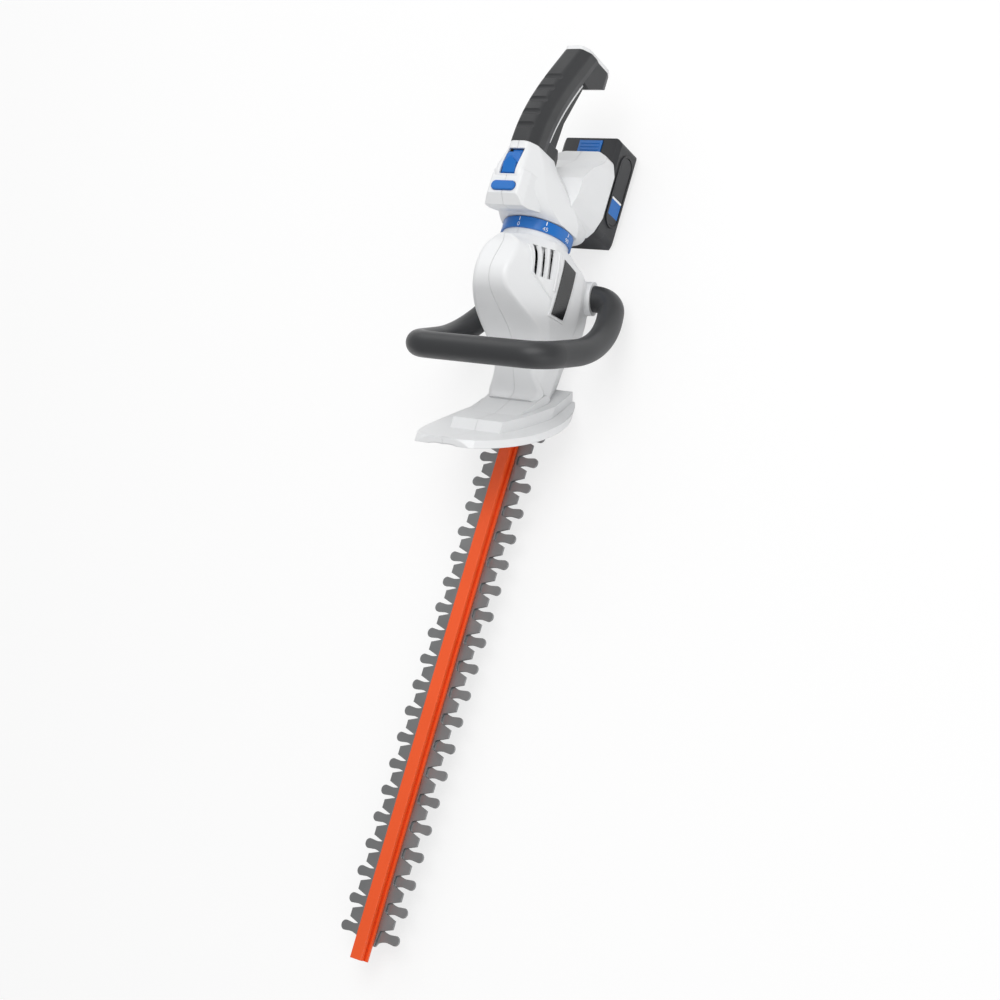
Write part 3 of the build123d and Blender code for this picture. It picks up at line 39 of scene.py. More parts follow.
import bmesh
import bpy
from bpy.props import FloatProperty, FloatVectorProperty, PointerProperty
from mathutils import Matrix, Vector
from mathutils.bvhtree import BVHTree

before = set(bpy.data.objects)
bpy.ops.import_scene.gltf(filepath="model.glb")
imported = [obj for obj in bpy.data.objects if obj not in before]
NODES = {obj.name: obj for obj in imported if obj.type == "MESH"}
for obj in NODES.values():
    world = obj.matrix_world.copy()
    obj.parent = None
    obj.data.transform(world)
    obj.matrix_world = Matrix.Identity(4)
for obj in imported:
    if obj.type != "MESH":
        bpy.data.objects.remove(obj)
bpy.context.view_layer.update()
MM = 0.001

# Node inputs of a colour Mix
FACTOR, COLOUR_A, COLOUR_B, COLOUR_OUT = 0, 6, 7, 2

# Range of a noise that drifts the gloss, and the shares of the roughness at its two ends
CLOUD_LOW, CLOUD_HIGH = 0.3, 0.7
GLOSSIEST, DULLEST = 0.88, 1.14


def linear(hex_colour):
    """An sRGB hex colour as linear red, green, blue and alpha."""
    channels = [int(hex_colour[i:i + 2], 16) / 255 for i in (0, 2, 4)]
    return tuple(c / 12.92 if c <= 0.04045 else ((c + 0.055) / 1.055) ** 2.4 for c in channels) + (1.0,)


def add(tree, kind, inputs=None, **settings):
    """Add a node with its settings, and set or link its inputs."""
    node = tree.nodes.new(kind)
    for key, value in settings.items():
        setattr(node, key, value)
    for key, value in (inputs or {}).items():
        if isinstance(value, bpy.types.NodeSocket):
            tree.links.new(value, node.inputs[key])
        else:
            node.inputs[key].default_value = value
    return node


class TrimmerColours(bpy.types.PropertyGroup):
    """Colours of the trimmer's materials."""

    body: FloatVectorProperty(
        name="Body", description="White of the moulded housings",
        subtype="COLOR", size=4, min=0, max=1, default=linear("ECEDEE"))
    grip: FloatVectorProperty(
        name="Grip", description="Charcoal of the soft grip",
        subtype="COLOR", size=4, min=0, max=1, default=linear("2F3032"))
    tube: FloatVectorProperty(
        name="Front handle", description="Black of the front handle's tube",
        subtype="COLOR", size=4, min=0, max=1, default=linear("303133"))
    controls: FloatVectorProperty(
        name="Controls", description="Blue of the ring, slider and buttons",
        subtype="COLOR", size=4, min=0, max=1, default=linear("0B6CC0"))
    rail: FloatVectorProperty(
        name="Rail", description="Orange of the coated rail",
        subtype="COLOR", size=4, min=0, max=1, default=linear("F4581C"))
    pack: FloatVectorProperty(
        name="Battery", description="Black of the battery case",
        subtype="COLOR", size=4, min=0, max=1, default=linear("2A2B2E"))
    marks: FloatVectorProperty(
        name="Marks", description="White of the printed marks",
        subtype="COLOR", size=4, min=0, max=1, default=linear("F2F4F6"))
    floor: FloatVectorProperty(
        name="Floor", description="Colour of the floor",
        subtype="COLOR", size=4, min=0, max=1, default=linear("FFFFFF"))


class TrimmerSizes(bpy.types.PropertyGroup):
    """Sizes of the trimmer's small pieces and surface patterns."""

    mould_edge: FloatProperty(
        name="Mould edge", description="Radius of the edges of moulded pieces",
        unit="LENGTH", min=0, default=0.9 * MM)
    louvre_low_depth: FloatProperty(
        name="Louvre edge depth", description="How far a louvre's lower edge lies inside",
        unit="LENGTH", min=1 * MM, default=5.6 * MM)
    louvre_depth: FloatProperty(
        name="Louvre depth", description="How far a louvre's upper edge lies inside",
        unit="LENGTH", min=2 * MM, default=7.4 * MM)
    louvre_rise: FloatProperty(
        name="Louvre rise", description="Height of a louvre from edge to edge",
        unit="LENGTH", min=1 * MM, default=3.2 * MM)
    louvre_drop: FloatProperty(
        name="Louvre drop", description="How far a louvre lies below its slot",
        unit="LENGTH", min=0, default=3 * MM)
    louvre_thickness: FloatProperty(
        name="Louvre thickness", description="Thickness of a louvre",
        unit="LENGTH", min=0.2 * MM, default=1.2 * MM)
    bead_width: FloatProperty(
        name="Bead width", description="Width of the beads round the vent panel",
        unit="LENGTH", min=0.2 * MM, default=2.2 * MM)
    bead_height: FloatProperty(
        name="Bead height", description="How far the beads stand proud",
        unit="LENGTH", min=0.05 * MM, default=1.3 * MM)
    bead_step: FloatProperty(
        name="Bead step", description="Spacing of the points that a bead follows",
        unit="LENGTH", min=1 * MM, default=2.5 * MM)
    slider_rise: FloatProperty(
        name="Thumb piece rise", description="Height of the slider's thumb piece",
        unit="LENGTH", min=0.5 * MM, default=4.6 * MM)
    slider_foot: FloatProperty(
        name="Slider foot", description="Width and height of the slider's hidden foot",
        unit="LENGTH", min=0.5 * MM, default=2 * MM)
    slider_foot_back: FloatProperty(
        name="Slider foot setback", description="How far the foot stops short of the rear",
        unit="LENGTH", min=0, default=6 * MM)
    slider_tail: FloatProperty(
        name="Slider tail", description="Length of the tail that fills the opening behind",
        unit="LENGTH", min=0.5 * MM, default=5 * MM)
    frame_gap: FloatProperty(
        name="Frame gap", description="Gap from a battery side plate to its frame",
        unit="LENGTH", min=0, default=1.2 * MM)
    frame_width: FloatProperty(
        name="Frame width", description="Width of the frame round a battery side plate",
        unit="LENGTH", min=0.5 * MM, default=2.4 * MM)
    frame_rise: FloatProperty(
        name="Frame rise", description="How far the frame stands above the side plate",
        unit="LENGTH", min=0.1 * MM, default=0.6 * MM)
    mould_grain: FloatProperty(
        name="Mould grain", description="Width of a grain of the etched mould",
        unit="LENGTH", min=0.1 * MM, default=0.7 * MM)
    grind_pitch: FloatProperty(
        name="Grinding pitch", description="Spacing of the grinding lines on the blades",
        unit="LENGTH", min=0.1 * MM, default=0.7 * MM)
    tick_width: FloatProperty(
        name="Tick width", description="Width of a tick of the angle ring",
        unit="LENGTH", min=0.1 * MM, default=0.9 * MM)
    tick_length: FloatProperty(
        name="Tick length", description="Length of a tick of the angle ring",
        unit="LENGTH", min=1 * MM, default=4.2 * MM)
    digit_height: FloatProperty(
        name="Digit height", description="Height of the angle ring's numbers",
        unit="LENGTH", min=1 * MM, default=4.6 * MM)
    print_height: FloatProperty(
        name="Print height", description="How far the printed marks stand proud",
        unit="LENGTH", min=0.01 * MM, default=0.12 * MM)


def colours():
    return bpy.context.scene.trimmer_colours


def sizes():
    return bpy.context.scene.trimmer_sizes


def shade(colour, gain):
    """A colour made darker or lighter, alpha kept."""
    return tuple(min(1.0, c * gain) for c in tuple(colour)[:3]) + (1.0,)


def surface(name, **sockets):
    """A material with its shader, its output and the part's own coordinates in metres."""
    material = bpy.data.materials.new(name)
    material.use_nodes = True
    tree = material.node_tree
    tree.nodes.clear()
    inputs = {key.replace("_", " "): value for key, value in sockets.items()}
    shader = add(tree, "ShaderNodeBsdfPrincipled", inputs)
    add(tree, "ShaderNodeOutputMaterial", {"Surface": shader.outputs["BSDF"]})
    place = add(tree, "ShaderNodeTexCoord").outputs["Object"]
    return material, tree, shader, place


def weathered(tree, shader, place, colour, spread, roughness, patch):
    """Drift the colour and the gloss a little over patches of the given size."""
    noise = add(tree, "ShaderNodeTexNoise", {"Vector": place, "Scale": 1 / patch, "Detail": 3.0})
    cloud = noise.outputs["Fac"]
    tone = add(tree, "ShaderNodeMix", {FACTOR: cloud, COLOUR_A: shade(colour, 1 - spread),
                                       COLOUR_B: shade(colour, 1 + spread)}, data_type="RGBA")
    tree.links.new(tone.outputs[COLOUR_OUT], shader.inputs["Base Color"])
    gloss = add(tree, "ShaderNodeMapRange", {"Value": cloud, "From Min": CLOUD_LOW, "From Max": CLOUD_HIGH,
                                             "To Min": roughness * GLOSSIEST, "To Max": roughness * DULLEST})
    tree.links.new(gloss.outputs["Result"], shader.inputs["Roughness"])
    return tone


def embossed(tree, shader, height, depth, edge):
    """Raise the surface by a height pattern, over edges rounded by the given radius."""
    rounded = add(tree, "ShaderNodeBevel", {"Radius": edge}, samples=4).outputs["Normal"]
    relief = add(tree, "ShaderNodeBump", {"Height": height, "Distance": depth, "Normal": rounded})
    tree.links.new(relief.outputs["Normal"], shader.inputs["Normal"])


def moulded(name, colour, spread, roughness, grain, depth, **sockets):
    """Moulded plastic: one colour with a slight drift, a fine etched grain and rounded edges."""
    material, tree, shader, place = surface(name, **sockets)
    weathered(tree, shader, place, colour, spread, roughness, 45 * MM)
    etch = add(tree, "ShaderNodeTexNoise", {"Vector": place, "Scale": 1 / grain, "Detail": 2.0})
    embossed(tree, shader, etch.outputs["Fac"], depth, sizes().mould_edge)
    return material


def lined(tree, place, pitch, run, axis):
    """A height pattern of fine lines: pitch apart, broken every run, along an axis of the part."""
    across = 1 / pitch
    along = 1 / run
    scale = Vector((across, across, across))
    scale[axis] = along
    stretched = add(tree, "ShaderNodeMapping", {"Vector": place, "Scale": scale}).outputs["Vector"]
    return add(tree, "ShaderNodeTexNoise", {"Vector": stretched, "Scale": 1.0, "Detail": 3.0}).outputs["Fac"]


def metal(name, colour, spread, roughness, pitch, run, axis, depth, edge, **sockets):
    """Worked metal: lines left by grinding, turning or drawing, and small worn edges."""
    material, tree, shader, place = surface(name, Metallic=1.0, **sockets)
    weathered(tree, shader, place, colour, spread, roughness, 25 * MM)
    embossed(tree, shader, lined(tree, place, pitch, run, axis), depth, edge)
    return material


def dress(material, *names):
    """Give CAD nodes one material."""
    for name in names:
        mesh = NODES[name].data
        mesh.materials.clear()
        mesh.materials.append(material)


def finish_of(node):
    """The material that a CAD node was given."""
    return NODES[node].data.materials[0]


def piece(name, mesh, material, body):
    """A new piece in the part's own frame, riding on a body."""
    mesh.materials.clear()
    mesh.materials.append(material)
    made = bpy.data.objects.new(name, mesh)
    bpy.context.scene.collection.objects.link(made)
    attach(made, body)
    return made


def white_abs():
    # White ABS from an etched mould: satin, faintly cool, softly rounded at every edge.
    return moulded("moulded_white_abs", colours().body, 0.015, 0.36, sizes().mould_grain, 0.012 * MM,
                   IOR=1.53)


class TRIMMER_OT_housings(bpy.types.Operator):
    """Finish the white housings and the pommel's end cap"""

    bl_idname = "trimmer.housings"
    bl_label = "Housings"

    def execute(self, context):
        dress(white_abs(), "main_housing_left", "main_housing_right",
              "rear_housing_left", "rear_housing_right", "grip_end_cap")
        return {"FINISHED"}


# Vents of the main housing in the part's frame: middle, slope, spacing, and length of a louvre
VENT_X = -237.75 * MM
VENT_Z = 118.6 * MM
VENT_SLOPE = radians(7.5)
VENT_PITCH = 7.9 * MM
VENT_LENGTH = 40.0 * MM


def skin_of(node):
    """A CAD node's surface, ready for rays."""
    mesh = NODES[node].data
    return BVHTree.FromPolygons([v.co for v in mesh.vertices], [f.vertices for f in mesh.polygons])


def side_at(skin, x, z):
    """The point and the direction of the left side's surface at a length and height."""
    hit, normal, face, distance = skin.ray_cast(Vector((x, 1, z)), Vector((0, -1, 0)))
    if hit is None:
        raise RuntimeError("no side wall lies there")
    return hit, normal


def slab(mesh, corners, thickness):
    """Add a flat four-cornered plate with the given thickness to a mesh."""
    normal = (corners[1] - corners[0]).cross(corners[3] - corners[0]).normalized() * thickness
    front = [mesh.verts.new(corner) for corner in corners]
    back = [mesh.verts.new(corner - normal) for corner in corners]
    mesh.faces.new(front)
    mesh.faces.new(reversed(back))
    for here, there in ((0, 1), (1, 2), (2, 3), (3, 0)):
        mesh.faces.new((front[there], front[here], back[here], back[there]))


def prism(mesh, outline, low, high):
    """Add an upright prism over a plan outline; returns its upper corners."""
    base = [mesh.verts.new((x, y, low)) for x, y in outline]
    top = [mesh.verts.new((x, y, high)) for x, y in outline]
    mesh.faces.new(reversed(base))
    mesh.faces.new(top)
    for here in range(len(outline)):
        there = (here + 1) % len(outline)
        mesh.faces.new((base[here], base[there], top[there], top[here]))
    return top


def finished(name, shape):
    """Turn a working shape into a mesh with outward faces."""
    bmesh.ops.recalc_face_normals(shape, faces=shape.faces)
    mesh = bpy.data.meshes.new(name)
    shape.to_mesh(mesh)
    shape.free()
    return mesh


# A bead's shoulders, as shares of its half width and its height
SHOULDER_OUT = 0.7
SHOULDER_UP = 0.6

# Borders of the vent panel, as (x, z) corners in millimetres of the part's frame
PANEL_LINES = (((-249.0, 135.5), (-223.0, 129.5), (-205.0, 101.0)), ((-256.0, 103.5), (-214.0, 99.5)))


class TRIMMER_OT_panel_beads(bpy.types.Operator):
    """Lay the thin beads that border the vent panel on the left side of the main housing"""

    bl_idname = "trimmer.panel_beads"
    bl_label = "Panel beads"

    def execute(self, context):
        beads = bmesh.new()
        skin = skin_of("main_housing_left")
        for line in PANEL_LINES:
            self.lay(beads, skin, [Vector((x, 0, z)) * MM for x, z in line])
        piece("panel_beads", finished("panel_beads", beads), finish_of("main_housing_left"), "main")
        return {"FINISHED"}

    def lay(self, beads, skin, corners):
        """One bead along a line of corners, dropped onto the housing's side."""
        places = []
        for start, end in zip(corners, corners[1:]):
            steps = max(2, round((end - start).length / sizes().bead_step))
            places += [start.lerp(end, index / steps) for index in range(steps)]
        places.append(corners[-1])
        rings = []
        for here, there in zip(places, places[1:] + [places[-1] * 2 - places[-2]]):
            hit, normal = side_at(skin, here.x, here.z)
            across = normal.cross(there - here).normalized() * sizes().bead_width / 2
            sunk = hit - normal * sizes().bead_height
            crown = hit + normal * sizes().bead_height
            shoulder = hit + normal * sizes().bead_height * SHOULDER_UP
            rings.append([beads.verts.new(point) for point in (
                sunk - across, shoulder - across * SHOULDER_OUT, crown, shoulder + across * SHOULDER_OUT,
                sunk + across)])
        for here, there in zip(rings, rings[1:]):
            for index in range(len(here)):
                other = (index + 1) % len(here)
                beads.faces.new((here[index], here[other], there[other], there[index]))
        beads.faces.new(rings[0])
        beads.faces.new(rings[-1])


class TRIMMER_OT_louvres(bpy.types.Operator):
    """Fit the sloping louvres behind the vents"""

    bl_idname = "trimmer.louvres"
    bl_label = "Louvres"

    def execute(self, context):
        blades = bmesh.new()
        skin = skin_of("main_housing_left")
        half = sizes().louvre_rise / 2
        low = (-half, sizes().louvre_low_depth)
        high = (half, sizes().louvre_depth)
        for index in (-1, 0, 1):
            middle = VENT_Z + index * VENT_PITCH - sizes().louvre_drop
            corners = []
            for end, (rise, depth) in ((-1, low), (1, low), (1, high), (-1, high)):
                x = VENT_X + end * cos(VENT_SLOPE) * VENT_LENGTH / 2
                z = middle - end * sin(VENT_SLOPE) * VENT_LENGTH / 2 + rise
                corners.append(side_at(skin, x, z)[0] - Vector((0, depth, 0)))
            slab(blades, corners, sizes().louvre_thickness)
            slab(blades, [Vector((c.x, -c.y, c.z)) for c in reversed(corners)], sizes().louvre_thickness)
        piece("vent_louvres", finished("vent_louvres", blades), finish_of("main_housing_left"), "main")
        return {"FINISHED"}


class TRIMMER_OT_grips(bpy.types.Operator):
    """Finish the soft grip, the front handle and the trigger"""

    bl_idname = "trimmer.grips"
    bl_label = "Grips"

    def execute(self, context):
        # Overmoulded thermoplastic rubber: dull charcoal with a pebbled feel.
        soft, tree, shader, place = surface("overmoulded_soft_rubber", IOR=1.5, Sheen_Weight=0.15,
                                            Sheen_Roughness=0.4)
        weathered(tree, shader, place, colours().grip, 0.06, 0.55, 30 * MM)
        pebbles = add(tree, "ShaderNodeTexVoronoi", {"Vector": place, "Scale": 1 / (1.1 * MM)},
                      feature="SMOOTH_F1")
        embossed(tree, shader, pebbles.outputs["Distance"], 0.06 * MM, 1.2 * MM)
        dress(soft, "grip_overmould")
        # Nylon tube with a soft-touch coat: even, dark and smooth, with a broad dull highlight.
        dress(moulded("soft_coated_nylon_tube", colours().tube, 0.04, 0.42, 0.9 * MM, 0.02 * MM, IOR=1.5,
                      Coat_Weight=0.12, Coat_Roughness=0.35), "front_handle")
        # Glass-filled nylon: the trigger is darker and slightly glossier than the grip.
        dress(moulded("glass_filled_nylon", shade(colours().grip, 0.6), 0.05, 0.4, 0.6 * MM, 0.015 * MM,
                      IOR=1.53),
              "trigger", "control_switch", "terminal_block", "swivel_hub", "motor_end_cap")
        return {"FINISHED"}


class TRIMMER_OT_controls(bpy.types.Operator):
    """Finish the blue ring, slider, release button and latch"""

    bl_idname = "trimmer.controls"
    bl_label = "Controls"

    def execute(self, context):
        # Blue ABS from a polished mould: clean colour with a semi-gloss.
        dress(moulded("moulded_blue_abs", colours().controls, 0.03, 0.3, 0.8 * MM, 0.008 * MM, IOR=1.53),
              "angle_ring", "lock_off_slider", "swivel_release", "pack_latch")
        return {"FINISHED"}


# The slider's plate and thumb piece, as shares of its length and of its half width
PLATE_CUT = 0.12
THUMB_PEAK = 0.24
THUMB_SHOULDER = 0.5
THUMB_INSET = 0.06
THUMB_WIDTH = 0.9
THUMB_DRAFT = 0.94
THUMB_SINK = 0.5 * MM


class TRIMMER_OT_slider(bpy.types.Operator):
    """Shape the lock-off slider: a plate with a raised thumb piece that points to the grip"""

    bl_idname = "trimmer.slider"
    bl_label = "Lock-off slider"

    def execute(self, context):
        low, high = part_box("lock_off_slider")
        half = high.y - sizes().slider_foot
        length = high.x - low.x
        cut = PLATE_CUT * length
        seat = high.z - sizes().slider_rise
        shape = bmesh.new()
        prism(shape, [(low.x + cut, -half), (high.x, -half), (high.x, half), (low.x + cut, half),
                      (low.x, half - cut), (low.x, cut - half)], low.z, seat)
        wide = THUMB_WIDTH * half
        front = high.x - THUMB_INSET * length
        shoulder = low.x + THUMB_SHOULDER * length
        peak = low.x + THUMB_PEAK * length
        top = prism(shape, [(shoulder, -wide), (front, -wide), (front, wide), (shoulder, wide), (peak, 0)],
                    seat - THUMB_SINK, high.z)
        for corner in top:
            # The thumb piece falls away to the front and leans in at its edges.
            fall = (corner.co.x - peak) / length
            corner.co.z -= fall * sizes().slider_rise
            corner.co.y *= THUMB_DRAFT
        foot = high.y
        back = low.x + sizes().slider_foot_back
        prism(shape, [(back, -foot), (high.x, -foot), (high.x, foot), (back, foot)], low.z,
              low.z + sizes().slider_foot)
        # A tail under the shell fills the opening behind the plate.
        tail = low.x - sizes().slider_tail
        narrow = half - cut
        prism(shape, [(tail, -narrow), (low.x + cut, -narrow), (low.x + cut, narrow), (tail, narrow)], low.z,
              low.z + sizes().slider_foot)
        made = piece("lock_off_thumb_slide", finished("lock_off_thumb_slide", shape), finish_of("angle_ring"),
                     "lock_off")
        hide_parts("lock_off_slider")
        return {"FINISHED"}


# Marks of the angle ring: degrees from the top and the number there; how far they keep from the ring's edges;
# and the font size that gives a digit of height one
RING_MARKS = ((-90, "90"), (-45, "45"), (0, "0"), (45, "45"), (90, "90"))
TICK_INSET = 0.6 * MM
DIGIT_INSET = 0.7 * MM
FONT_SIZE = 1.35


def number_mesh(text, height, thickness):
    """A flat mesh of a number, centred, with the built-in font."""
    line = bpy.data.curves.new("number", "FONT")
    line.body = text
    line.size = height * FONT_SIZE
    line.align_x = "CENTER"
    line.align_y = "CENTER"
    line.extrude = thickness
    carrier = bpy.data.objects.new("number", line)
    bpy.context.scene.collection.objects.link(carrier)
    graph = bpy.context.evaluated_depsgraph_get()
    mesh = bpy.data.meshes.new_from_object(carrier.evaluated_get(graph))
    bpy.data.objects.remove(carrier)
    bpy.data.curves.remove(line)
    return mesh


class TRIMMER_OT_ring_marks(bpy.types.Operator):
    """Print the ticks and numbers on the angle ring"""

    bl_idname = "trimmer.ring_marks"
    bl_label = "Ring marks"

    def execute(self, context):
        low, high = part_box("angle_ring")
        centre = (low + high) / 2
        radius = (high.z - low.z) / 2
        proud = sizes().print_height
        marks = bmesh.new()

        def wrap(mesh_points, angle, x):
            # Lay flat points round the ring: right is round the ring, up is to the rear.
            for vert in mesh_points:
                turn = angle + vert.co.x / radius
                reach = radius + vert.co.z
                vert.co = Vector((x - vert.co.y, centre.y + reach * sin(turn), centre.z + reach * cos(turn)))

        for degrees_from_top, text in RING_MARKS:
            angle = radians(degrees_from_top)
            tick = bmesh.ops.create_grid(marks, x_segments=2, y_segments=2, size=0.5)["verts"]
            for vert in tick:
                vert.co = Vector((vert.co.x * sizes().tick_width, vert.co.y * sizes().tick_length, proud))
            wrap(tick, angle, low.x + sizes().tick_length / 2 + TICK_INSET)
            before = len(marks.verts)
            marks.from_mesh(number_mesh(text, sizes().digit_height, proud))
            marks.verts.ensure_lookup_table()
            wrap(marks.verts[before:], angle, high.x - sizes().digit_height / 2 - DIGIT_INSET)
        mesh = bpy.data.meshes.new("ring_marks")
        marks.to_mesh(mesh)
        marks.free()
        # Pad-printed white ink: thin, flat and slightly uneven.
        ink = moulded("pad_printed_white_ink", colours().marks, 0.03, 0.45, 0.5 * MM, 0.004 * MM)
        piece("ring_marks", mesh, ink, "main")
        return {"FINISHED"}


class TRIMMER_OT_blades(bpy.types.Operator):
    """Finish the two blades, their support bar and the bolts"""

    bl_idname = "trimmer.blades"
    bl_label = "Blades"

    def execute(self, context):
        # Ground spring steel: grey, with fine grinding lines across the blade.
        blade = metal("ground_spring_steel", linear("9C9D9E"), 0.07, 0.4, sizes().grind_pitch, 18 * MM, 1,
                      0.02 * MM, 0.35 * MM, Anisotropic=0.3)
        dress(blade, "upper_blade", "lower_blade")
        # Cold-drawn steel bar: a little darker, with lines along its length.
        bar = metal("drawn_steel_bar", linear("85878A"), 0.06, 0.42, 0.8 * MM, 60 * MM, 0, 0.02 * MM, 0.4 * MM)
        dress(bar, "blade_support_bar")
        # Zinc-plated steel: pale and slightly mottled.
        zinc = metal("zinc_plated_steel", linear("B4B8BD"), 0.08, 0.34, 1.5 * MM, 1.5 * MM, 2, 0.01 * MM,
                     0.3 * MM)
        dress(zinc, "blade_bolts", "main_housing_screws", "rear_housing_screws", "front_handle_pins",
              "trigger_pin")
        return {"FINISHED"}


class TRIMMER_OT_rail(bpy.types.Operator):
    """Finish the orange rail"""

    bl_idname = "trimmer.rail"
    bl_label = "Rail"

    def execute(self, context):
        # Powder-coated aluminium extrusion: strong orange with a fine orange-peel surface.
        coat, tree, shader, place = surface("powder_coated_aluminium", IOR=1.5, Coat_Weight=0.1,
                                            Coat_Roughness=0.3)
        weathered(tree, shader, place, colours().rail, 0.05, 0.42, 60 * MM)
        peel = add(tree, "ShaderNodeTexNoise", {"Vector": place, "Scale": 1 / (1.4 * MM), "Detail": 1.0})
        embossed(tree, shader, peel.outputs["Fac"], 0.03 * MM, 0.5 * MM)
        dress(coat, "blade_rail")
        return {"FINISHED"}


# Straight steps in the half circle at each end of a frame
ARC_STEPS = 12

# Bands printed on the battery's side plates, as shares of their length from the rear
BAR_START = 0.62
FIELD_START = 0.65
FIELD_END = 0.88


def stadium(middle, half_length, half_height):
    """A round-ended x-z outline."""
    straight = half_length - half_height
    points = []
    for end, start in ((1, -90), (-1, 90)):
        for step in range(ARC_STEPS + 1):
            turn = radians(start + 180 * step / ARC_STEPS)
            points.append((middle.x + end * straight + half_height * cos(turn),
                           middle.z + half_height * sin(turn)))
    return points


class TRIMMER_OT_battery(bpy.types.Operator):
    """Finish the battery pack's cases, side plates and cells"""

    bl_idname = "trimmer.battery"
    bl_label = "Battery"

    def execute(self, context):
        # Black ABS and polycarbonate from a coarse mould: dull, with grey edges.
        dress(moulded("moulded_black_abs", colours().pack, 0.06, 0.45, 0.9 * MM, 0.025 * MM, IOR=1.53),
              "pack_lower_case", "pack_upper_case")
        # Printed side plate: dark with a blue field and a white bar, all plain.
        low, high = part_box("pack_trim_left")
        plate, tree, shader, place = surface("printed_side_plate", IOR=1.5)
        tone = weathered(tree, shader, place, linear("2B2C2F"), 0.05, 0.4, 30 * MM)
        along = add(tree, "ShaderNodeSeparateXYZ", {"Vector": place}).outputs["X"]
        share = add(tree, "ShaderNodeMapRange", {"Value": along, "From Min": low.x, "From Max": high.x})
        bands = add(tree, "ShaderNodeValToRGB", {"Fac": share.outputs["Result"]})
        ramp = bands.color_ramp
        ramp.interpolation = "CONSTANT"
        ramp.elements[0].color = (0, 0, 0, 0)
        ramp.elements[1].position = FIELD_END
        ramp.elements[1].color = (0, 0, 0, 0)
        for position, colour in ((BAR_START, colours().marks), (FIELD_START, colours().controls)):
            ramp.elements.new(position).color = tuple(colour)
        printed = add(tree, "ShaderNodeMix", {FACTOR: bands.outputs["Alpha"],
                                              COLOUR_A: tone.outputs[COLOUR_OUT],
                                              COLOUR_B: bands.outputs["Color"]}, data_type="RGBA")
        tree.links.new(printed.outputs[COLOUR_OUT], shader.inputs["Base Color"])
        dress(plate, "pack_trim_left", "pack_trim_right")
        self.frames()
        # Shrink sleeve over steel cells: thin glossy film.
        dress(moulded("shrink_sleeve_film", linear("2F6DA6"), 0.05, 0.25, 3 * MM, 0.01 * MM, Coat_Weight=0.3),
              "pack_cells")
        return {"FINISHED"}

    def frames(self):
        """Round-ended frames that stand up round the two side plates."""
        shape = bmesh.new()
        for side, node in ((1, "pack_trim_left"), (-1, "pack_trim_right")):
            low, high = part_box(node)
            face = max(abs(low.y), abs(high.y))
            levels = (side * (face - sizes().frame_rise * 2), side * (face + sizes().frame_rise))
            loops = []
            for grow in (sizes().frame_gap, sizes().frame_gap + sizes().frame_width):
                outline = stadium((low + high) / 2, (high.x - low.x) / 2 + grow, (high.z - low.z) / 2 + grow)
                loops.append([[shape.verts.new((x, y, z)) for x, z in outline] for y in levels])
            (in_low, in_high), (out_low, out_high) = loops
            for one, two in ((in_low, in_high), (in_high, out_high), (out_high, out_low), (out_low, in_low)):
                for here in range(len(one)):
                    there = (here + 1) % len(one)
                    shape.faces.new((one[here], one[there], two[there], two[here]))
        piece("pack_side_frames", finished("pack_side_frames", shape), finish_of("pack_lower_case"), "battery")


class TRIMMER_OT_badge(bpy.types.Operator):
    """Finish the blank badge plate"""

    bl_idname = "trimmer.badge"
    bl_label = "Badge"

    def execute(self, context):
        # Black polycarbonate plate: smooth and glossy, left blank.
        dress(moulded("gloss_black_polycarbonate", linear("17181A"), 0.08, 0.2, 2 * MM, 0.004 * MM, IOR=1.58,
                      Coat_Weight=0.3, Coat_Roughness=0.12), "badge_plate")
        return {"FINISHED"}


class TRIMMER_OT_works(bpy.types.Operator):
    """Finish the motor, the gears and the leads inside the housing"""

    bl_idname = "trimmer.works"
    bl_label = "Motor and gears"

    def execute(self, context):
        # Sintered and turned steel: grey with round turning lines.
        turned = metal("turned_gear_steel", linear("8E9093"), 0.08, 0.38, 0.8 * MM, 10 * MM, 2, 0.02 * MM,
                       0.3 * MM)
        dress(turned, "motor_shaft", "motor_rotor", "motor_pinion", "drive_gear", "upper_eccentric",
              "lower_eccentric", "gear_axle", "gear_washers")
        # Drawn and plated steel can.
        can = metal("drawn_steel_can", linear("A3A7AB"), 0.05, 0.36, 1.0 * MM, 30 * MM, 2, 0.01 * MM, 0.5 * MM)
        dress(can, "motor_can")
        # Die-cast aluminium: pale grey skin with a fine grain.
        cast = metal("die_cast_aluminium", linear("A9ACAF"), 0.06, 0.5, 1.2 * MM, 1.2 * MM, 2, 0.04 * MM,
                     0.6 * MM)
        dress(cast, "gear_case_floor", "gear_case_top")
        # PVC insulated leads: dull red.
        dress(moulded("pvc_insulation", linear("8E2B26"), 0.06, 0.45, 1.0 * MM, 0.02 * MM),
              "front_lead", "rear_lead")
        return {"FINISHED"}


# The photograph's camera: where it stands, and its right, up and back directions
CAMERA_PLACE = Vector((346.35, 1034.5, 1535.0)) * MM
CAMERA_RIGHT = Vector((-0.27543, 0.82236, -0.49787))
CAMERA_UP = Vector((-0.94250, -0.12901, 0.30831))
CAMERA_BACK = Vector((0.18932, 0.55415, 0.81060))
CAMERA_LENS = 63.94
SENSOR_WIDTH = 36.0

# Soft boxes: name, place and size in metres, power in watts
SOFT_BOXES = (
    ("key_soft_box", (-0.6, 0.5, 2.1), 1.6, 23.0),
    ("fill_soft_box", (1.2, 1.6, 1.0), 1.8, 9.0),
    ("rear_soft_box", (-1.6, -0.9, 1.2), 1.5, 8.0),
)
LIGHT_TARGET = Vector((-0.1, 0.0, 0.08))
WORLD_LEVEL = 0.45
FLOOR_SIZE = 12.0
FLOOR_DROP = 0.2 * MM
FLOOR_GLOW = 0.72


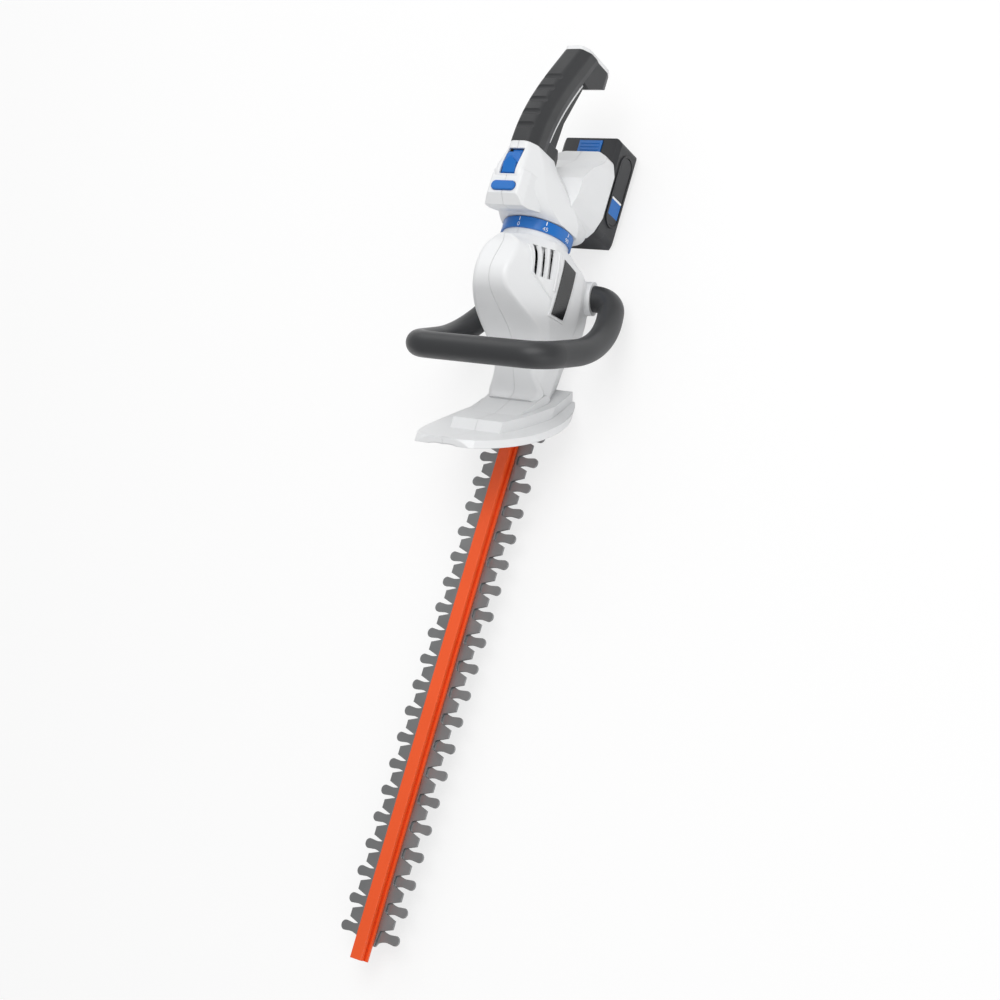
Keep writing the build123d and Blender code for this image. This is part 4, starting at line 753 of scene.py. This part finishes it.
class TRIMMER_OT_stage(bpy.types.Operator):
    """Set the floor, the soft light and the photograph's camera"""

    bl_idname = "trimmer.stage"
    bl_label = "Stage"

    def execute(self, context):
        context.scene.view_settings.view_transform = "Standard"
        self.floor(context.scene)
        self.studio(context.scene)
        self.lights(context.scene)
        self.camera(context.scene)
        return {"FINISHED"}

    def floor(self, scene):
        """A wide sheet of white paper just under the part."""
        mesh = bpy.data.meshes.new("floor")
        half = FLOOR_SIZE / 2
        corners = [(-half, -half, 0), (half, -half, 0), (half, half, 0), (-half, half, 0)]
        mesh.from_pydata(corners, [], [(0, 1, 2, 3)])
        floor = bpy.data.objects.new("floor", mesh)
        floor.location.z = -FLOOR_DROP
        scene.collection.objects.link(floor)
        # White paper: matt, and lifted to near white where the camera sees it.
        paper = bpy.data.materials.new("white_paper_floor")
        paper.use_nodes = True
        tree = paper.node_tree
        tree.nodes.clear()
        matt = add(tree, "ShaderNodeBsdfDiffuse", {"Color": tuple(colours().floor)})
        glow = add(tree, "ShaderNodeEmission", {"Color": tuple(colours().floor), "Strength": 1.0})
        seen = add(tree, "ShaderNodeLightPath").outputs["Is Camera Ray"]
        amount = add(tree, "ShaderNodeMath", {0: seen, 1: FLOOR_GLOW}, operation="MULTIPLY")
        blend = add(tree, "ShaderNodeMixShader", {0: amount.outputs["Value"], 1: matt.outputs["BSDF"],
                                                  2: glow.outputs["Emission"]})
        add(tree, "ShaderNodeOutputMaterial", {"Surface": blend.outputs["Shader"]})
        mesh.materials.append(paper)

    def studio(self, scene):
        """An even white surround, full white where the camera sees it."""
        world = bpy.data.worlds.new("studio")
        world.use_nodes = True
        tree = world.node_tree
        tree.nodes.clear()
        seen = add(tree, "ShaderNodeLightPath").outputs["Is Camera Ray"]
        level = add(tree, "ShaderNodeMapRange", {"Value": seen, "To Min": WORLD_LEVEL, "To Max": 1.0})
        sky = add(tree, "ShaderNodeBackground", {"Color": (1, 1, 1, 1), "Strength": level.outputs["Result"]})
        add(tree, "ShaderNodeOutputWorld", {"Surface": sky.outputs["Background"]})
        scene.world = world

    def lights(self, scene):
        """Soft boxes turned to the part."""
        for name, place, size, power in SOFT_BOXES:
            lamp = bpy.data.lights.new(name, "AREA")
            lamp.size = size
            lamp.energy = power
            box = bpy.data.objects.new(name, lamp)
            box.location = place
            box.rotation_euler = (LIGHT_TARGET - box.location).to_track_quat("-Z", "Y").to_euler()
            scene.collection.objects.link(box)

    def camera(self, scene):
        """The photograph's camera."""
        lens = bpy.data.cameras.new("photograph")
        lens.lens = CAMERA_LENS
        lens.sensor_width = SENSOR_WIDTH
        camera = bpy.data.objects.new("photograph", lens)
        turn = Matrix((CAMERA_RIGHT, CAMERA_UP, CAMERA_BACK)).transposed().to_4x4()
        camera.matrix_world = Matrix.Translation(CAMERA_PLACE) @ turn
        scene.collection.objects.link(camera)
        scene.camera = camera


OPERATORS = (TRIMMER_OT_housings, TRIMMER_OT_panel_beads, TRIMMER_OT_louvres, TRIMMER_OT_grips,
             TRIMMER_OT_controls, TRIMMER_OT_slider, TRIMMER_OT_ring_marks, TRIMMER_OT_blades,
             TRIMMER_OT_rail, TRIMMER_OT_battery, TRIMMER_OT_badge, TRIMMER_OT_works, TRIMMER_OT_stage)


class TRIMMER_PT_panel(bpy.types.Panel):
    """Sidebar panel with the trimmer's steps, colours and sizes"""

    bl_idname = "TRIMMER_PT_panel"
    bl_label = "Hedge Trimmer"
    bl_space_type = "VIEW_3D"
    bl_region_type = "UI"
    bl_category = "Hedge Trimmer"

    def draw(self, context):
        for operator in OPERATORS:
            self.layout.operator(operator.bl_idname)
        for group in (context.scene.trimmer_colours, context.scene.trimmer_sizes):
            box = self.layout.box()
            for key in group.__annotations__:
                box.prop(group, key)


CLASSES = (TrimmerColours, TrimmerSizes, *OPERATORS, TRIMMER_PT_panel)


def register():
    for cls in CLASSES:
        bpy.utils.register_class(cls)
    bpy.types.Scene.trimmer_colours = PointerProperty(type=TrimmerColours)
    bpy.types.Scene.trimmer_sizes = PointerProperty(type=TrimmerSizes)


def unregister():
    del bpy.types.Scene.trimmer_sizes
    del bpy.types.Scene.trimmer_colours
    for cls in reversed(CLASSES):
        bpy.utils.unregister_class(cls)


def main():
    register()
    for step in ("housings", "panel_beads", "louvres", "grips", "controls", "slider", "ring_marks", "blades",
                 "rail", "battery", "badge", "works", "stage"):
        getattr(bpy.ops.trimmer, step)()


if __name__ == "__main__":
    main()
